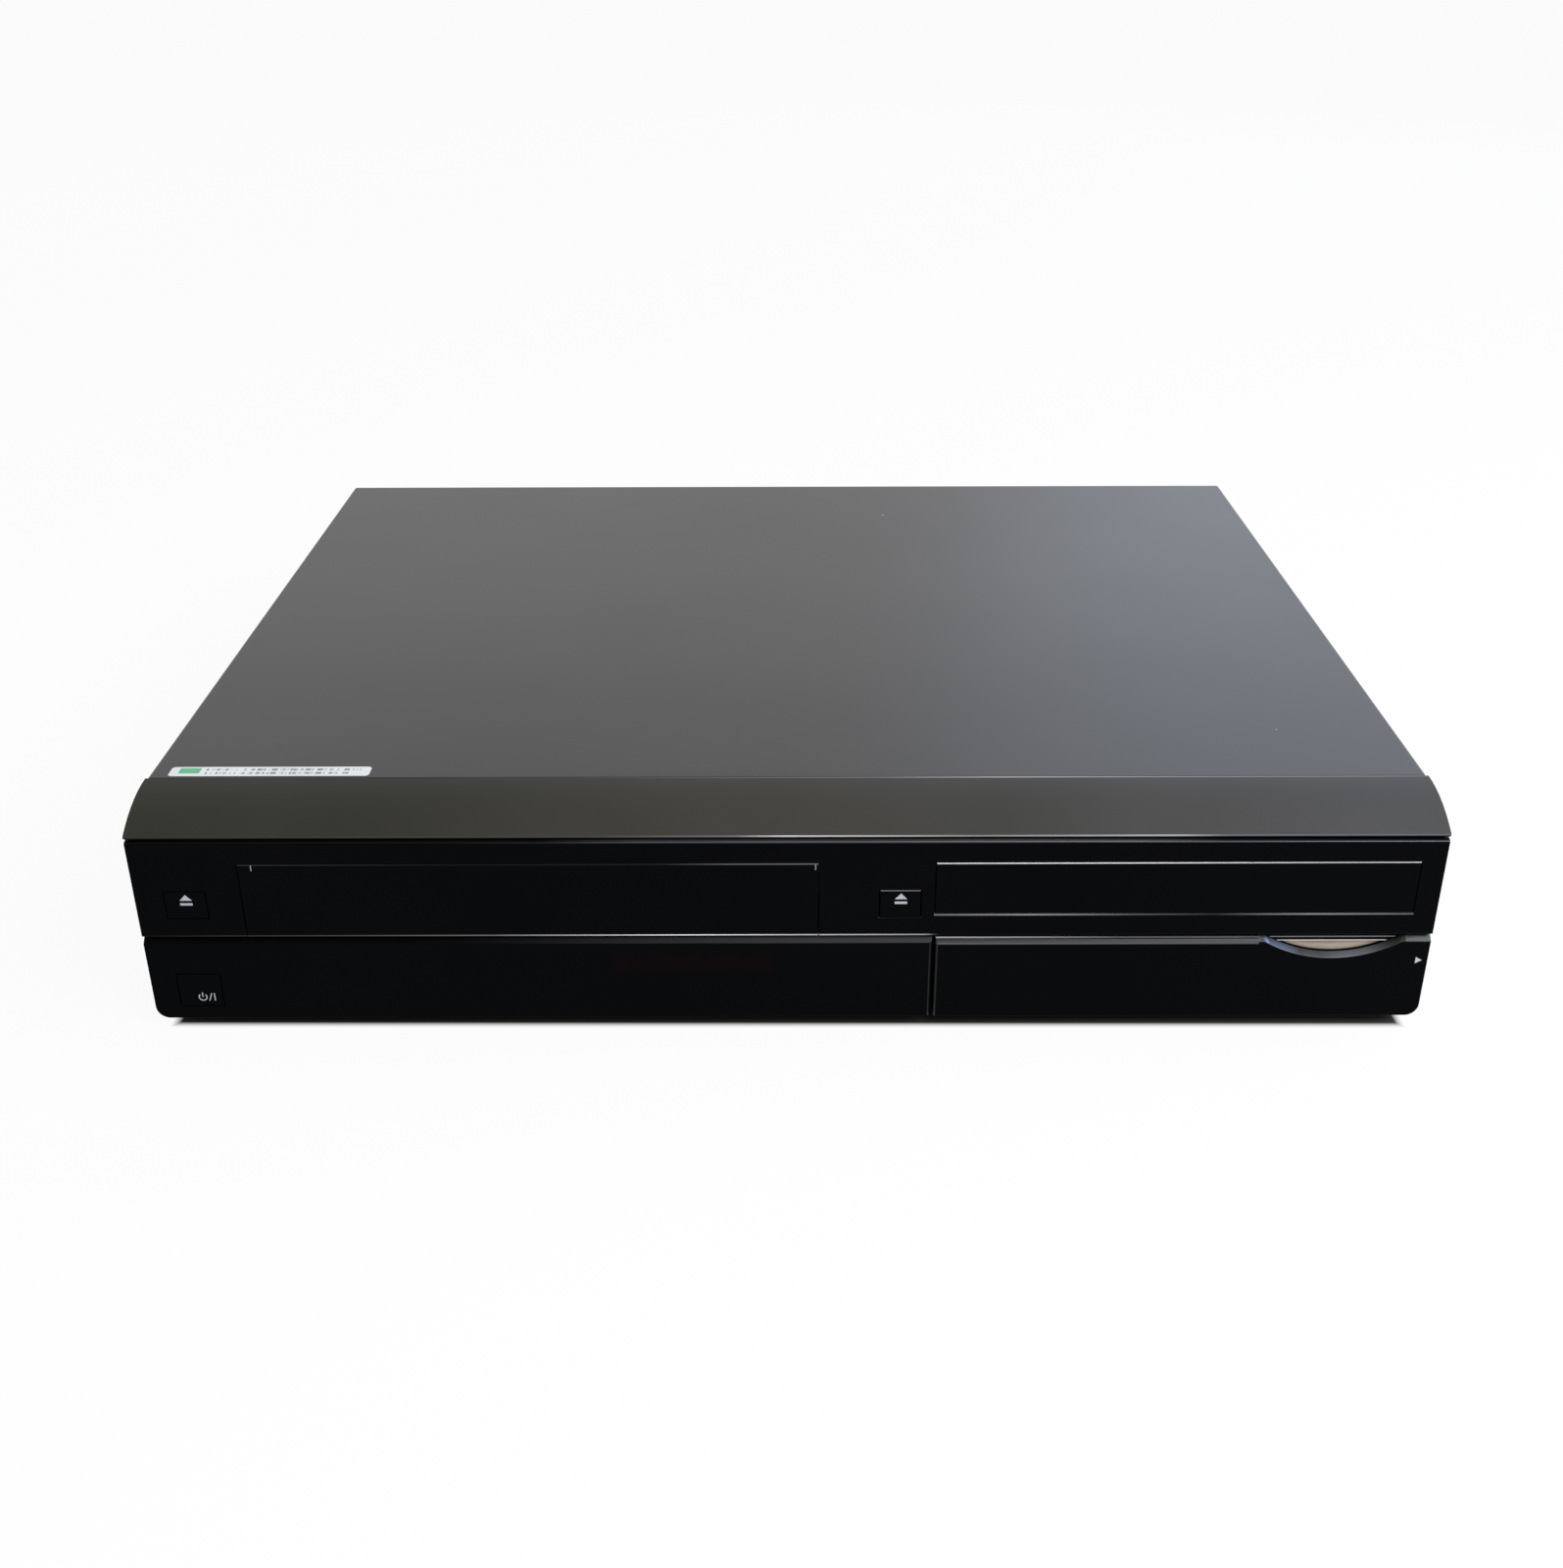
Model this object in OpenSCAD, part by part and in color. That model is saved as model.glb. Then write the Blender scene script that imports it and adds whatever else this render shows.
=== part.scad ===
// Home recorder with a disc drive, a hard disk and a video cassette deck.
// X runs to the right, the front faces -Y, Z is up, and the feet stand on Z = 0. Millimetres.

/* [Case] */
// width of the front panel
body_w = 430; // [426:0.5:436]
// how much wider the front is than the top cover, each side
cover_step = 0.3; // [0.1:0.1:1.5]
// height from the table to the top cover
body_h = 83; // [82:0.5:86]
// depth from the front face to the back edge of the top cover
body_d = 346; // [344:0.5:356]
// sheet steel thickness
sheet = 1; // [0.8:0.1:1.2]
// height of the feet
foot_h = 5; // [4.5:0.1:5.4]
// radius of a foot
foot_r = 12; // [9:0.5:15]
// outer corner radius of the top cover's bends
bend_r = 1.6; // [1.3:0.1:3]

/* [Front] */
// depth of the sloped trim strip behind the front face
trim_d = 27; // [25:0.5:28]
// radius of the sloped trim strip's curve
trim_r = 50.6; // [46:0.2:60]
// thickness of the front moulding
face_t = 2.5; // [2:0.1:2.8]
// gap between a panel, flap or button and its opening
gap = 0.3; // [0.25:0.05:0.45]
// half the groove between the upper and the lower panels
groove = 0.4; // [0.3:0.05:0.6]
// height of the chamfer along the top of the lower panels
chamfer_h = 2.2; // [1.4:0.1:3.4]
// radius of the lower corners of the front
corner_r = 4.5; // [3:0.1:6]
// where the lower left panel ends and the door begins
split_x = 49; // [48.1:0.1:49.6]
// radius of the finger notch in the door
notch_r = 44; // [38:0.2:50]
// centre of the finger notch
notch_x = 182.5; // [176:0.2:185]

/* [Tape flap and tray front] */
// width of the tape flap
flap_w = 189.8; // [188:0.2:191]
// centre of the tape flap
flap_x = -84.6; // [-85.2:0.1:-84]
// thickness of the tape flap
flap_t = 2.2; // [1.8:0.1:2.4]
// height of the tray front
tray_front_h = 19.2; // [17:0.1:20]
// gap between the tray front and the right end of the front
tray_margin = 8; // [6.8:0.1:8.8]
// how much wider the tray front is than the disc drive
tray_front_extra = 11; // [8:0.1:12]

/* [Buttons] */
// width of the tape eject button and the disc button
eject_w = 13.4; // [10:0.1:14]
// height of the tape eject button and the disc button
eject_h = 10; // [7:0.1:11]
// width of the power button
power_w = 14.4; // [10:0.1:16]
// height of the power button
power_h = 12.4; // [9:0.1:14]
// width of a key behind the door
key_w = 8.6; // [6:0.1:10]

/* [Tape deck] */
// width of a video cassette
cassette_w = 188; // [187:0.1:188.4]
// radius of the head drum
drum_r = 31; // [29:0.1:31.6]
// tilt of the head drum, degrees
drum_tilt = 6; // [3:0.5:7]
// distance between the two reels
reel_gap = 92; // [86:0.5:98]
// radius of a reel spindle
spindle_r = 8.3; // [6:0.1:9.4]
// how far the carriage takes a cassette back
holder_travel = 80; // [70:0.5:82]
// how far the cassette is lowered on to the reels
holder_drop = 16; // [12:0.2:16.5]
// radius of the capstan flywheel
flywheel_r = 26; // [20:0.5:27]
// radius of the pinch roller
roller_r = 6.5; // [5:0.1:7]

/* [Disc drive] */
// radius of a disc
disc_r = 60; // [58:0.1:61]
// how much wider the disc drive is than a disc
drive_extra = 27; // [25:0.1:28]
// radius of the turntable hub that a disc fits on
hub_r = 7.4; // [6:0.05:7.45]
// how far the disc tray slides out
tray_travel = 133; // [125:0.5:134]
// teeth on the tray drive gear
gear_teeth = 16; // [14:2:18]
// module of the drive gear's teeth
gear_module = 1.25; // [1.15:0.05:1.35]

/* [Hard disk] */
// length of the hard disk
hdd_w = 147; // [146:0.1:147.2]
// width of the hard disk
hdd_d = 101.6; // [100:0.1:101.8]
// height of the hard disk
hdd_h = 26.1; // [20:0.1:26.2]

/* [Rear sockets] */
// radius of a phono socket's shell
phono_r = 4.15; // [4:0.01:4.2]
// radius of an aerial socket's thread
aerial_r = 4.75; // [4.6:0.01:4.8]
// how far the sockets stand out behind the cover
jack_out = 8; // [6:0.1:10]

/* [Hidden] */
$fn = 48;
// stretch of the whole build when the case is made larger or smaller
kx = body_w / 430;
kd = body_d / 346;
kz = body_h / 83;
bw = body_w / kx / 2;
bd = body_d / kd;
bh = body_h / kz;
yf = -(bd + jack_out) / 2;
cw = bw - cover_step;
ci = cw - sheet;
cb = ci - 0.3;
fz = foot_h + sheet;
lo = foot_h - 0.2;
pt = bh - 9.9;
ps = bh - 46;
up0 = ps + groove;
lp1 = ps - groove;
rear_in = bd - 1.1 - sheet;
fx0 = flap_x - flap_w / 2;
fx1 = flap_x + flap_w / 2;
flap_top = pt - 8.2;
hinge_z = flap_top + 0.6;
hinge_d = face_t + 0.1;
drive_w = 2 * disc_r + drive_extra;
tray_front_w = drive_w + tray_front_extra;
tray_x = bw - tray_margin - tray_front_w / 2;
tx0 = tray_x - tray_front_w / 2;
tx1 = tray_x + tray_front_w / 2;
tray_top = pt - 8.1;
tray_bot = tray_top - tray_front_h;
eject_x = -bw + 16.7;
open_x = tx0 - 11.6;
eject_z = pt - 18.5 - eject_h / 2;
power_x = -bw + 16.4;
power_z = lo + 11.4;
key_z = lp1 - 7.6;
keys_x = split_x + 11.2;
phono_x = [for (i = [0:2]) split_x + 83.2 + i * 14];
dv_x = split_x + 129.5;
card_x = split_x + 9.2;
door_x0 = split_x + 0.6;
panel_x1 = split_x - 0.6;
door_d = face_t + 2.1;
door_z = lo + 3.2;
fb = trim_d - 5;
stem_end = fb - 4.3;
bz = fz + 6;
bt = bz + 1.6;
dk = fz + 10;
dkt = dk + 1.6;
cass_z = ps + 12.7;
cass_top = cass_z + 13.8;
cass_bot = cass_z - 12.7;
hw = cassette_w / 2 + 0.8;
gx = hw + 6.2;
guide_end = 110 + holder_travel;
reel_d = 38 + holder_travel;
drum_d = reel_d + 98;
load_d = drum_d - 39;
load_x = drum_r - 5;
cap_x = flap_x + drum_r + 29;
cap_d = drum_d - 30;
arm_x = cap_x + 20;
arm_d = cap_d + 20;
dz = tray_top - 28.5;
tz = dz + 13.9;
dl = bh - sheet - 7 - dz;
dw = drive_w / 2;
disc_d = disc_r + 12;
tray_end = tray_travel + 33;
sp_d = disc_d + 116;
sp_z = dz + 9.5;
drive_end = sp_d + 16;
gm = gear_module;
gr = gm * gear_teeth / 2;
pitch = 3.14159265 * gm;
rack_x = tray_x - dw + 16.5;
gear_x = rack_x + gr;
gear_d = trim_d + 11;
rack_n = floor((tray_end - gear_d - 3) / pitch) - 1;
pin_teeth = gear_teeth / 2;
pin_x = gear_x + gr + gm * pin_teeth / 2;
hd0 = rear_in - 20.3 - hdd_d;
hz = fz + 35;
hx0 = tray_x - hdd_w / 2;
row_x = [for (i = [0:3]) tray_x - 59.8 + i * 14];
row_z = [for (i = [0:2]) bz + 12 + i * 14];
aerial_x = [for (i = [0:2]) tray_x - 122 + i * 16];
fan_x = aerial_x[0] - 35;
black = "#101113";
steel = "#b9bcbe";

// the case's proportions
module fit() {
  scale([kx, kd, kz])
    children();
}
// box from ranges: x, depth behind the front face, z
module bx(x0, x1, d0, d1, z0, z1) {
  translate([x0, yf + d0, z0])
    cube([x1 - x0, d1 - d0, z1 - z0]);
}
module vz(x, d, z0, z1, r) {
  translate([x, yf + d, z0])
    cylinder(r = r, h = z1 - z0);
}
module vy(x, d0, d1, z, r) {
  translate([x, yf + d1, z])
    rotate([90, 0, 0])
      cylinder(r = r, h = d1 - d0);
}
module vx(x0, x1, d, z, r) {
  translate([x0, yf + d, z])
    rotate([0, 90, 0])
      cylinder(r = r, h = x1 - x0);
}
// outline with rounded corners, drawn in x and z and run along the depth
module slab(x0, x1, d0, d1, z0, z1, r) {
  translate([0, yf + d1, 0])
    rotate([90, 0, 0])
      linear_extrude(d1 - d0) {
        translate([x0 + r, z0])
          square([x1 - x0 - 2 * r, z1 - z0]);
        translate([x0, z0 + r])
          square([x1 - x0, z1 - z0 - 2 * r]);
        for (x = [x0 + r, x1 - r], z = [z0 + r, z1 - r])
          translate([x, z])
            circle(r = r);
      }
}
// toothed wheel as one outline
module wheel(n, h, turn) {
  r = gm * n / 2;
  a = 360 / n;
  t = 57.29578 / r;
  linear_extrude(h)
    polygon([for (i = [0:n - 1], k = [[-1.15, -1.4], [-0.72, 0], [-0.36, 1.05], [0.36, 1.05], [0.72, 0], [1.15, -1.4]])
      let(b = turn + a * i + k[0] * t)
      [(r + k[1]) * cos(b), (r + k[1]) * sin(b)]]);
}

module base_chassis() {
  fit() {
    color(steel) {
      difference() {
        bx(-cb, cb, 17, rear_in + sheet, foot_h, fz);
        for (x = [-bw + 25, bw - 25], d = [45, bd - 46])
          vz(x, d, foot_h - 1, fz + 1, 2);
        for (i = [0:6])
          bx(-150 + i * 12, -144 + i * 12, rear_in - 68, rear_in - 24, foot_h - 1, fz + 1);
        for (i = [0:6])
          bx(80 + i * 14, 86 + i * 14, rear_in - 108, rear_in - 64, foot_h - 1, fz + 1);
      }
      for (s = [-1, 1])
        difference() {
          bx(s > 0 ? cb - sheet : -cb, s > 0 ? cb : -cb + sheet, trim_d + 1, rear_in, fz, fz + 12);
          for (d = [60, bd - 56])
            vx(s * cb - 3, s * cb + 3, d, fz + 6, 1.7);
        }
      bx(-150, 200, 17, 18, fz, fz + 2.5);
      for (x = [-160, -40, 30, 120, 196])
        bx(x, x + 8, fb + 1.6, fb + 2.6, fz, fz + 15);
      for (p = [for (x = [48, 204], d = [60, rear_in - 24]) [x, d]])
        vz(p[0], p[1], fz, bz, 3);
      for (p = [for (x = [-200, -58], d = [rear_in - 72, rear_in - 10]) [x, d]])
        vz(p[0], p[1], fz, bz, 3);
      for (x = [flap_x - gx + 7, flap_x + gx - 7], d = [44, drum_d + 32])
        vz(x, d, fz, dk, 4);
    }
  }
}

module rear_panel() {
  fit() {
    color(steel) difference() {
      bx(-cb, cb, rear_in, rear_in + sheet, fz, bh - sheet - 0.3);
      bx(-bw + 16, -bw + 38, rear_in - 1, rear_in + 2, fz + 9, fz + 25);
      for (i = [-3:3])
        bx(fan_x - 1.4 + i * 6, fan_x + 1.4 + i * 6, rear_in - 1, rear_in + 2, fz + 17, fz + 57);
      for (x = aerial_x)
        vy(x, rear_in - 1, rear_in + 2, fz + 24, aerial_r + 0.3);
      for (x = row_x, z = row_z)
        vy(x, rear_in - 1, rear_in + 2, z, phono_r + 0.3);
      bx(tray_x + 4.6, tray_x + 21.8, rear_in - 1, rear_in + 2, bt - 0.4, bt + 8.4);
      bx(tray_x + 29.8, tray_x + 40.6, rear_in - 1, rear_in + 2, bt - 0.4, bt + 11.4);
      bx(tray_x + 47.6, tray_x + 64.8, rear_in - 1, rear_in + 2, bt - 0.4, bt + 15.4);
      for (x = [-120, 50, 130])
        vy(x, rear_in - 1, rear_in + 2, bh - 6, 1.7);
    }
  }
}

module top_cover() {
  fit() {
    h0 = fz + 0.2;
    color("#3a3a3c") {
      difference() {
        slab(-cw, cw, trim_d, bd, h0 - 20, bh, bend_r);
        slab(-ci, ci, trim_d - 1, bd + 1, h0 - 30, bh - sheet, bend_r - sheet * 0.6);
        bx(-bw, bw, trim_d - 1, bd + 1, h0 - 40, h0);
        for (s = [-1, 1], d = [60, bd - 56])
          vx(s * cw - 4, s * cw + 4, d, fz + 6, 1.7);
        for (s = [-1, 1], i = [0:13])
          bx(s * cw - 4, s * cw + 4, 180 + i * 7, 183 + i * 7, 30, 60);
      }
      difference() {
        bx(-cw + 8, cw - 8, bd - 1, bd, bh - 11, bh - sheet);
        for (x = [-120, 50, 130])
          vy(x, bd - 3, bd + 1, bh - 6, 1.7);
      }
    }
  }
}

module front_bezel() {
  fit() {
    color(black) {
      // upper panel
      difference() {
        union() {
          bx(-bw, bw, 0, face_t, up0, pt);
          // hinge bosses of the flap
          bx(fx0 - gap - 4, fx0 - gap, face_t, 6, hinge_z - 4, hinge_z + 2.6);
          bx(fx1 + gap, fx1 + gap + 4, face_t, 6, hinge_z - 4, hinge_z + 2.6);
        }
        translate([-bw - 1, yf, pt])
          rotate([45, 0, 0])
            translate([0, -0.42, -0.42])
              cube([2 * bw + 2, 0.84, 0.84]);
        bx(fx0 - gap, fx1 + gap, -1, face_t + 1, up0 - 1, flap_top + gap);
        bx(tx0 - gap, tx1 + gap, -1, face_t + 1, tray_bot - gap, tray_top + gap);
        for (x = [eject_x, open_x])
          bx(x - eject_w / 2 - gap, x + eject_w / 2 + gap, -1, face_t + 1,
            eject_z - eject_h / 2 - gap, eject_z + eject_h / 2 + gap);
        vx(fx0 - gap - 3.4, fx0, hinge_d, hinge_z, 1.1);
        vx(fx1, fx1 + gap + 3.4, hinge_d, hinge_z, 1.1);
        for (x = [fx0 - gap, fx1 - 2.4 - gap])
          bx(x, x + 2.4 + 2 * gap, 1, face_t + 1, flap_top, hinge_z + 1.7);
      }
      // sides and bottom edge behind the face
      difference() {
        slab(-bw, bw, 4.3, trim_d, lo, pt + 20, corner_r);
        slab(-bw + 1.5, bw - 1.5, 4, trim_d + 1, lo + 1.5, pt + 40, corner_r - 1.5);
        bx(-bw - 1, bw + 1, 4, trim_d + 1, pt - 0.6, pt + 50);
        bx(-bw - 1, bw + 1, 17, trim_d + 1, lo - 1, fz + 3.5);
        bx(split_x + 0.3, bw + 1, 4, 8.5, lo - 1, lo + 1.8);
      }
      for (s = [-1, 1])
        bx(s > 0 ? bw - 1.5 : -bw, s > 0 ? bw : -bw + 1.5, face_t, 4.3, up0, pt - 0.6);
      // shelf under the trim, with its back wall
      bx(-bw + 1.5, bw - 1.5, face_t, trim_d - 1, pt - 1.8, pt - 0.6);
      bx(-bw + 3, bw - 3, 10, 11.2, pt - 0.6,
        bh - trim_r + sqrt(pow(trim_r - 1.6, 2) - pow(trim_d - 10, 2)) - 0.3);
      // rail behind the groove
      bx(-bw + 1.5, bw - 1.5, 4.3, 7, ps - 1.9, ps - 0.1);
      bx(-bw + 1.5, fx0 - gap, 1.4, 7, ps - 0.1, up0 + 1.2);
      bx(fx1 + gap, bw - 1.5, 1.4, 7, ps - 0.1, up0 + 1.2);
      // frame behind the display panel
      difference() {
        bx(-bw + 1.5, split_x - 1.5, 4.3, 5.5, lo + 1.5, ps - 1.9);
        bx(-74, 14, 4, 6, 15, 34.4);
        bx(power_x - power_w / 2 - gap, power_x + power_w / 2 + gap, 4, 6,
          power_z - power_h / 2 - gap, power_z + power_h / 2 + gap);
      }
      // recess behind the door
      bx(split_x - 1.5, split_x + 0.2, 4.3, 16, lo + 0.3, ps - 0.1);
      bx(split_x, bw - 1.5, 7, 16, ps - 1.6, ps - 0.1);
      difference() {
        bx(split_x, bw - 1.5, 14.5, 16, lo + 1.5, ps - 1.6);
        for (i = [0:3])
          bx(keys_x + i * 13 - key_w / 2 - gap, keys_x + i * 13 + key_w / 2 + gap, 14, 17,
            key_z - 2 - gap, key_z + 2 + gap);
        for (x = phono_x)
          vy(x, 14, 17, 15.5, phono_r + 0.3);
        vy(phono_x[0] - 17, 14, 17, 15.5, 5.8);
        bx(dv_x - 4.3, dv_x + 4.3, 14, 17, 12.6, 18.4);
        bx(dv_x + 9.7, dv_x + 23.7, 14, 17, 12.2, 18.8);
        bx(card_x, card_x + 26, 14, 17, 13.2, 17.8);
      }
      // lugs that the door turns on
      for (x = [split_x + 9.6, bw - 12.9])
        difference() {
          union() {
            vx(x, x + 2.5, door_d, door_z, 1.8);
            bx(x, x + 2.5, door_d, 10, door_z - 1.8, door_z + 1.8);
          }
          vx(x - 1, x + 4, door_d, door_z, 1.1);
        }
    }
  }
}

module sloped_trim() {
  fit() {
    cz = bh - trim_r;
    color("#2c2c2e") {
      intersection() {
        difference() {
          vx(-bw, bw, trim_d, cz, trim_r);
          vx(-bw - 1, bw + 1, trim_d, cz, trim_r - 1.6);
        }
        bx(-bw, bw, 0, trim_d, pt + 1.2, bh);
      }
      for (s = [-1, 1])
        intersection() {
          vx(s > 0 ? bw - 1.4 : -bw, s > 0 ? bw : -bw + 1.4, trim_d, cz, trim_r - 0.8);
          bx(-bw, bw, 1.4, trim_d, pt - 0.6, bh);
        }
    }
  }
}

// outline of a lower panel seen from the front, with one rounded lower corner
module lower_panel(x0, x1, side, t) {
  difference() {
    intersection() {
      bx(x0, x1, 0, t, lo, lp1);
      slab(-bw, bw, -1, 10, lo, lp1 + 20, corner_r);
    }
    translate([x0 - 1, yf, lp1 - chamfer_h])
      rotate([atan2(chamfer_h, 2.2), 0, 0])
        translate([0, -10, 0])
          cube([x1 - x0 + 2, 20, 10]);
    translate([side, yf, 0])
      rotate([0, 0, 45])
        cube([1.1, 1.1, 100], center = true);
  }
}

module display_panel() {
  fit() {
    color("#0c0c0e") difference() {
      lower_panel(-bw, panel_x1, panel_x1, 4.3);
      bx(-74, 14, 2, 5, 15, 34.4 - 2);
      bx(power_x - power_w / 2 - gap, power_x + power_w / 2 + gap, -1, 5,
        power_z - power_h / 2 - gap, power_z + power_h / 2 + gap);
    }
  }
}

module front_door() {
  fit() {
    color("#0c0c0e") {
      difference() {
        lower_panel(door_x0, bw, door_x0, 2.8);
        translate([notch_x, yf - 0.01, lp1 + notch_r - 8.6])
          rotate([-90, 0, 0])
            cylinder(r1 = notch_r, r2 = notch_r - 2, h = 2.9);
      }
      for (x = [split_x + 7, bw - 10])
        difference() {
          union() {
            vx(x, x + 2.2, door_d, door_z, 1.7);
            bx(x, x + 2.2, 2.8, door_d, door_z - 1.7, door_z + 1.7);
          }
        }
      vx(split_x + 8.2, split_x + 11.8, door_d, door_z, 0.8);
      vx(bw - 12.6, bw - 9, door_d, door_z, 0.8);
    }
  }
}

module feet() {
  fit() {
    color("#1a1a1a")
      for (x = [-bw + 25, bw - 25], d = [45, bd - 46]) {
        vz(x, d, 0, foot_h, foot_r);
        vz(x, d, foot_h, fz + 1.4, 1.8);
      }
  }
}

module screws() {
  fit() {
    color("#8d8f92") {
      for (s = [-1, 1], d = [60, bd - 56]) {
        vx(s > 0 ? cw : -cw - 1, s > 0 ? cw + 1 : -cw, d, fz + 6, 2.8);
        vx(s > 0 ? cb - 4 : -cw, s > 0 ? cw : -cb + 4, d, fz + 6, 1.5);
      }
      for (x = [-120, 50, 130]) {
        vy(x, bd, bd + 1, bh - 6, 2.8);
        vy(x, bd - 6, bd, bh - 6, 1.5);
      }
    }
  }
}

module tact(x, z) {
  bx(x - 3, x + 3, fb - 3.2, fb, z - 3, z + 3);
}

module front_board() {
  fit() {
    color("#2c5a36") {
      bx(-bw + 7, bw - 7, fb, fb + 1.6, fz + 3, lp1 - 3.1);
      bx(-bw + 7, -bw + 31, fb, fb + 1.6, lp1 - 3.1, eject_z + 8);
      bx(open_x - 9, open_x + 9, fb, fb + 1.6, lp1 - 3.1, eject_z + 8);
    }
    color("#26282a") {
      tact(power_x, power_z);
      tact(eject_x, eject_z);
      tact(open_x, eject_z);
      for (i = [0:3])
        tact(keys_x + i * 13, key_z);
      bx(18, 25, 8, fb, 18, 25);
    }
  }
}

module display_tube() {
  fit() {
    color("#20302f") bx(-70, 10, 7, 13, 18, 33);
    color("#333333") bx(-62, 2, 13, fb, 20, 31);
  }
}

module phono(x, d0, d1, z) {
  difference() {
    vy(x, d0, d1, z, phono_r);
    vy(x, d0 < 100 ? d0 - 1 : d1 - 7, d0 < 100 ? d0 + 7 : d1 + 1, z, 1.6);
  }
}

module front_av_sockets() {
  fit() {
    color("#c9c9c9") {
      for (x = phono_x) {
        phono(x, 7.6, 17, 15.5);
        bx(x - 5.5, x + 5.5, 17, fb, 10, 21);
      }
      difference() {
        vy(phono_x[0] - 17, 12.6, 17, 15.5, 5.5);
        vy(phono_x[0] - 17, 12, 15.5, 15.5, 4.2);
      }
      bx(phono_x[0] - 23, phono_x[0] - 11, 17, fb, 9.6, 21.4);
    }
  }
}

module front_digital_sockets() {
  fit() {
    color("#9a9da0") {
      difference() {
        bx(dv_x - 3.9, dv_x + 3.9, 12.8, fb, 13, 18);
        bx(dv_x - 2.7, dv_x + 2.7, 12, 19, 14, 17);
      }
      difference() {
        bx(dv_x + 10.1, dv_x + 23.3, 12.8, fb, 12.6, 18.4);
        bx(dv_x + 10.9, dv_x + 22.5, 12, 20, 13.4, 17.6);
      }
      difference() {
        bx(card_x + 0.4, card_x + 25.6, 13.6, fb, 13.6, 17.4);
        bx(card_x + 1, card_x + 25, 13, 21, 14.2, 16.8);
      }
    }
  }
}

module power_button() {
  fit() {
    color("#0c0c0e") {
      bx(power_x - power_w / 2, power_x + power_w / 2, 0, 5.9, power_z - power_h / 2, power_z + power_h / 2);
      bx(power_x - power_w / 2 - 1.2, power_x + power_w / 2 + 1.2, 5.9, 6.9,
        power_z - power_h / 2 - 1.2, power_z + power_h / 2 + 1.2);
      vy(power_x, 6.9, stem_end, power_z, 1.8);
    }
  }
}

module panel_button(x) {
  bx(x - eject_w / 2, x + eject_w / 2, 0, face_t + 0.4, eject_z - eject_h / 2, eject_z + eject_h / 2);
  bx(x - eject_w / 2 - 1.2, x + eject_w / 2 + 1.2, face_t + 0.4, face_t + 1.4,
    eject_z - eject_h / 2 - 1.2, eject_z + eject_h / 2 + 1.2);
  vy(x, face_t + 1.4, stem_end, eject_z, 1.8);
}

module tape_eject_button() {
  fit() {
    color("#0c0c0e") panel_button(eject_x);
  }
}

module disc_open_button() {
  fit() {
    color("#0c0c0e") panel_button(open_x);
  }
}

module key_cap(i) {
  x = keys_x + i * 13;
  color("#4a4c50") {
    bx(x - key_w / 2, x + key_w / 2, 12.4, 16.4, key_z - 2, key_z + 2);
    bx(x - key_w / 2 - 0.9, x + key_w / 2 + 0.9, 16.4, 17.1, key_z - 2.9, key_z + 2.9);
    bx(x - 1.5, x + 1.5, 17.1, stem_end, key_z - 1.5, key_z + 1.5);
  }
}

module rec_key() {
  fit() {
    key_cap(0);
  }
}
module stop_key() {
  fit() {
    key_cap(1);
  }
}
module channel_down_key() {
  fit() {
    key_cap(2);
  }
}
module channel_up_key() {
  fit() {
    key_cap(3);
  }
}

// slanted slot that a tape guide runs in; s is the side
module guide_track(s, w, z0, z1) {
  a = atan2(45, 20);
  translate([flap_x + s * load_x, yf + load_d, z0])
    rotate([0, 0, s > 0 ? a : 180 - a])
      translate([-w / 2 - 1, -w / 2, 0])
        cube([50.2 + w + 1, w, z1 - z0]);
}

module deck_plate() {
  fit() {
    color(steel) {
      difference() {
        bx(flap_x - gx, flap_x + gx, 34, drum_d + 40, dk, dkt);
        for (s = [-1, 1])
          guide_track(s, 4.6, dk - 1, dkt + 1);
        vz(cap_x, cap_d, dk - 1, dkt + 1, 5.2);
        for (s = [-1, 1])
          vz(flap_x + s * reel_gap / 2, reel_d, dk - 1, dkt + 1, 2);
      }
      for (s = [-1, 1])
        difference() {
          vz(flap_x + s * reel_gap / 2, reel_d, dk - 2, dkt + 14, 2);
          vz(flap_x + s * reel_gap / 2, reel_d, dk - 3, dk + 4, 0.6);
        }
      vz(arm_x, arm_d, dkt, dkt + 12, 4);
      vz(arm_x, arm_d, dkt + 12, dkt + 20, 1.8);
    }
  }
}

module cassette_guide_frame() {
  fit() {
    color("#a9acae") {
      for (s = [-1, 1])
        difference() {
          bx(s > 0 ? flap_x + gx : flap_x - gx - 1.2, s > 0 ? flap_x + gx + 1.2 : flap_x - gx,
            34, guide_end, dk + 0.2, cass_top + 8);
          bx(s > 0 ? flap_x + gx - 1 : flap_x - gx - 3, s > 0 ? flap_x + gx + 3 : flap_x - gx + 1,
            44, guide_end - 4, cass_z + 7, cass_z + 10.2);
          bx(s > 0 ? flap_x + gx - 1 : flap_x - gx - 3, s > 0 ? flap_x + gx + 3 : flap_x - gx + 1,
            60, guide_end - 20, dkt + 8, cass_z - 6);
          bx(s > 0 ? flap_x + gx - 1 : flap_x - gx - 3, s > 0 ? flap_x + gx + 3 : flap_x - gx + 1,
            69, 91, dkt - 0.4, dkt + 1);
        }
      bx(flap_x - gx - 1.2, flap_x + gx + 1.2, guide_end - 16, guide_end, cass_top + 8, cass_top + 9);
      bx(flap_x - gx - 1.2, flap_x + gx + 1.2, 34, 44, cass_top + 8, cass_top + 9);
    }
  }
}

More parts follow.
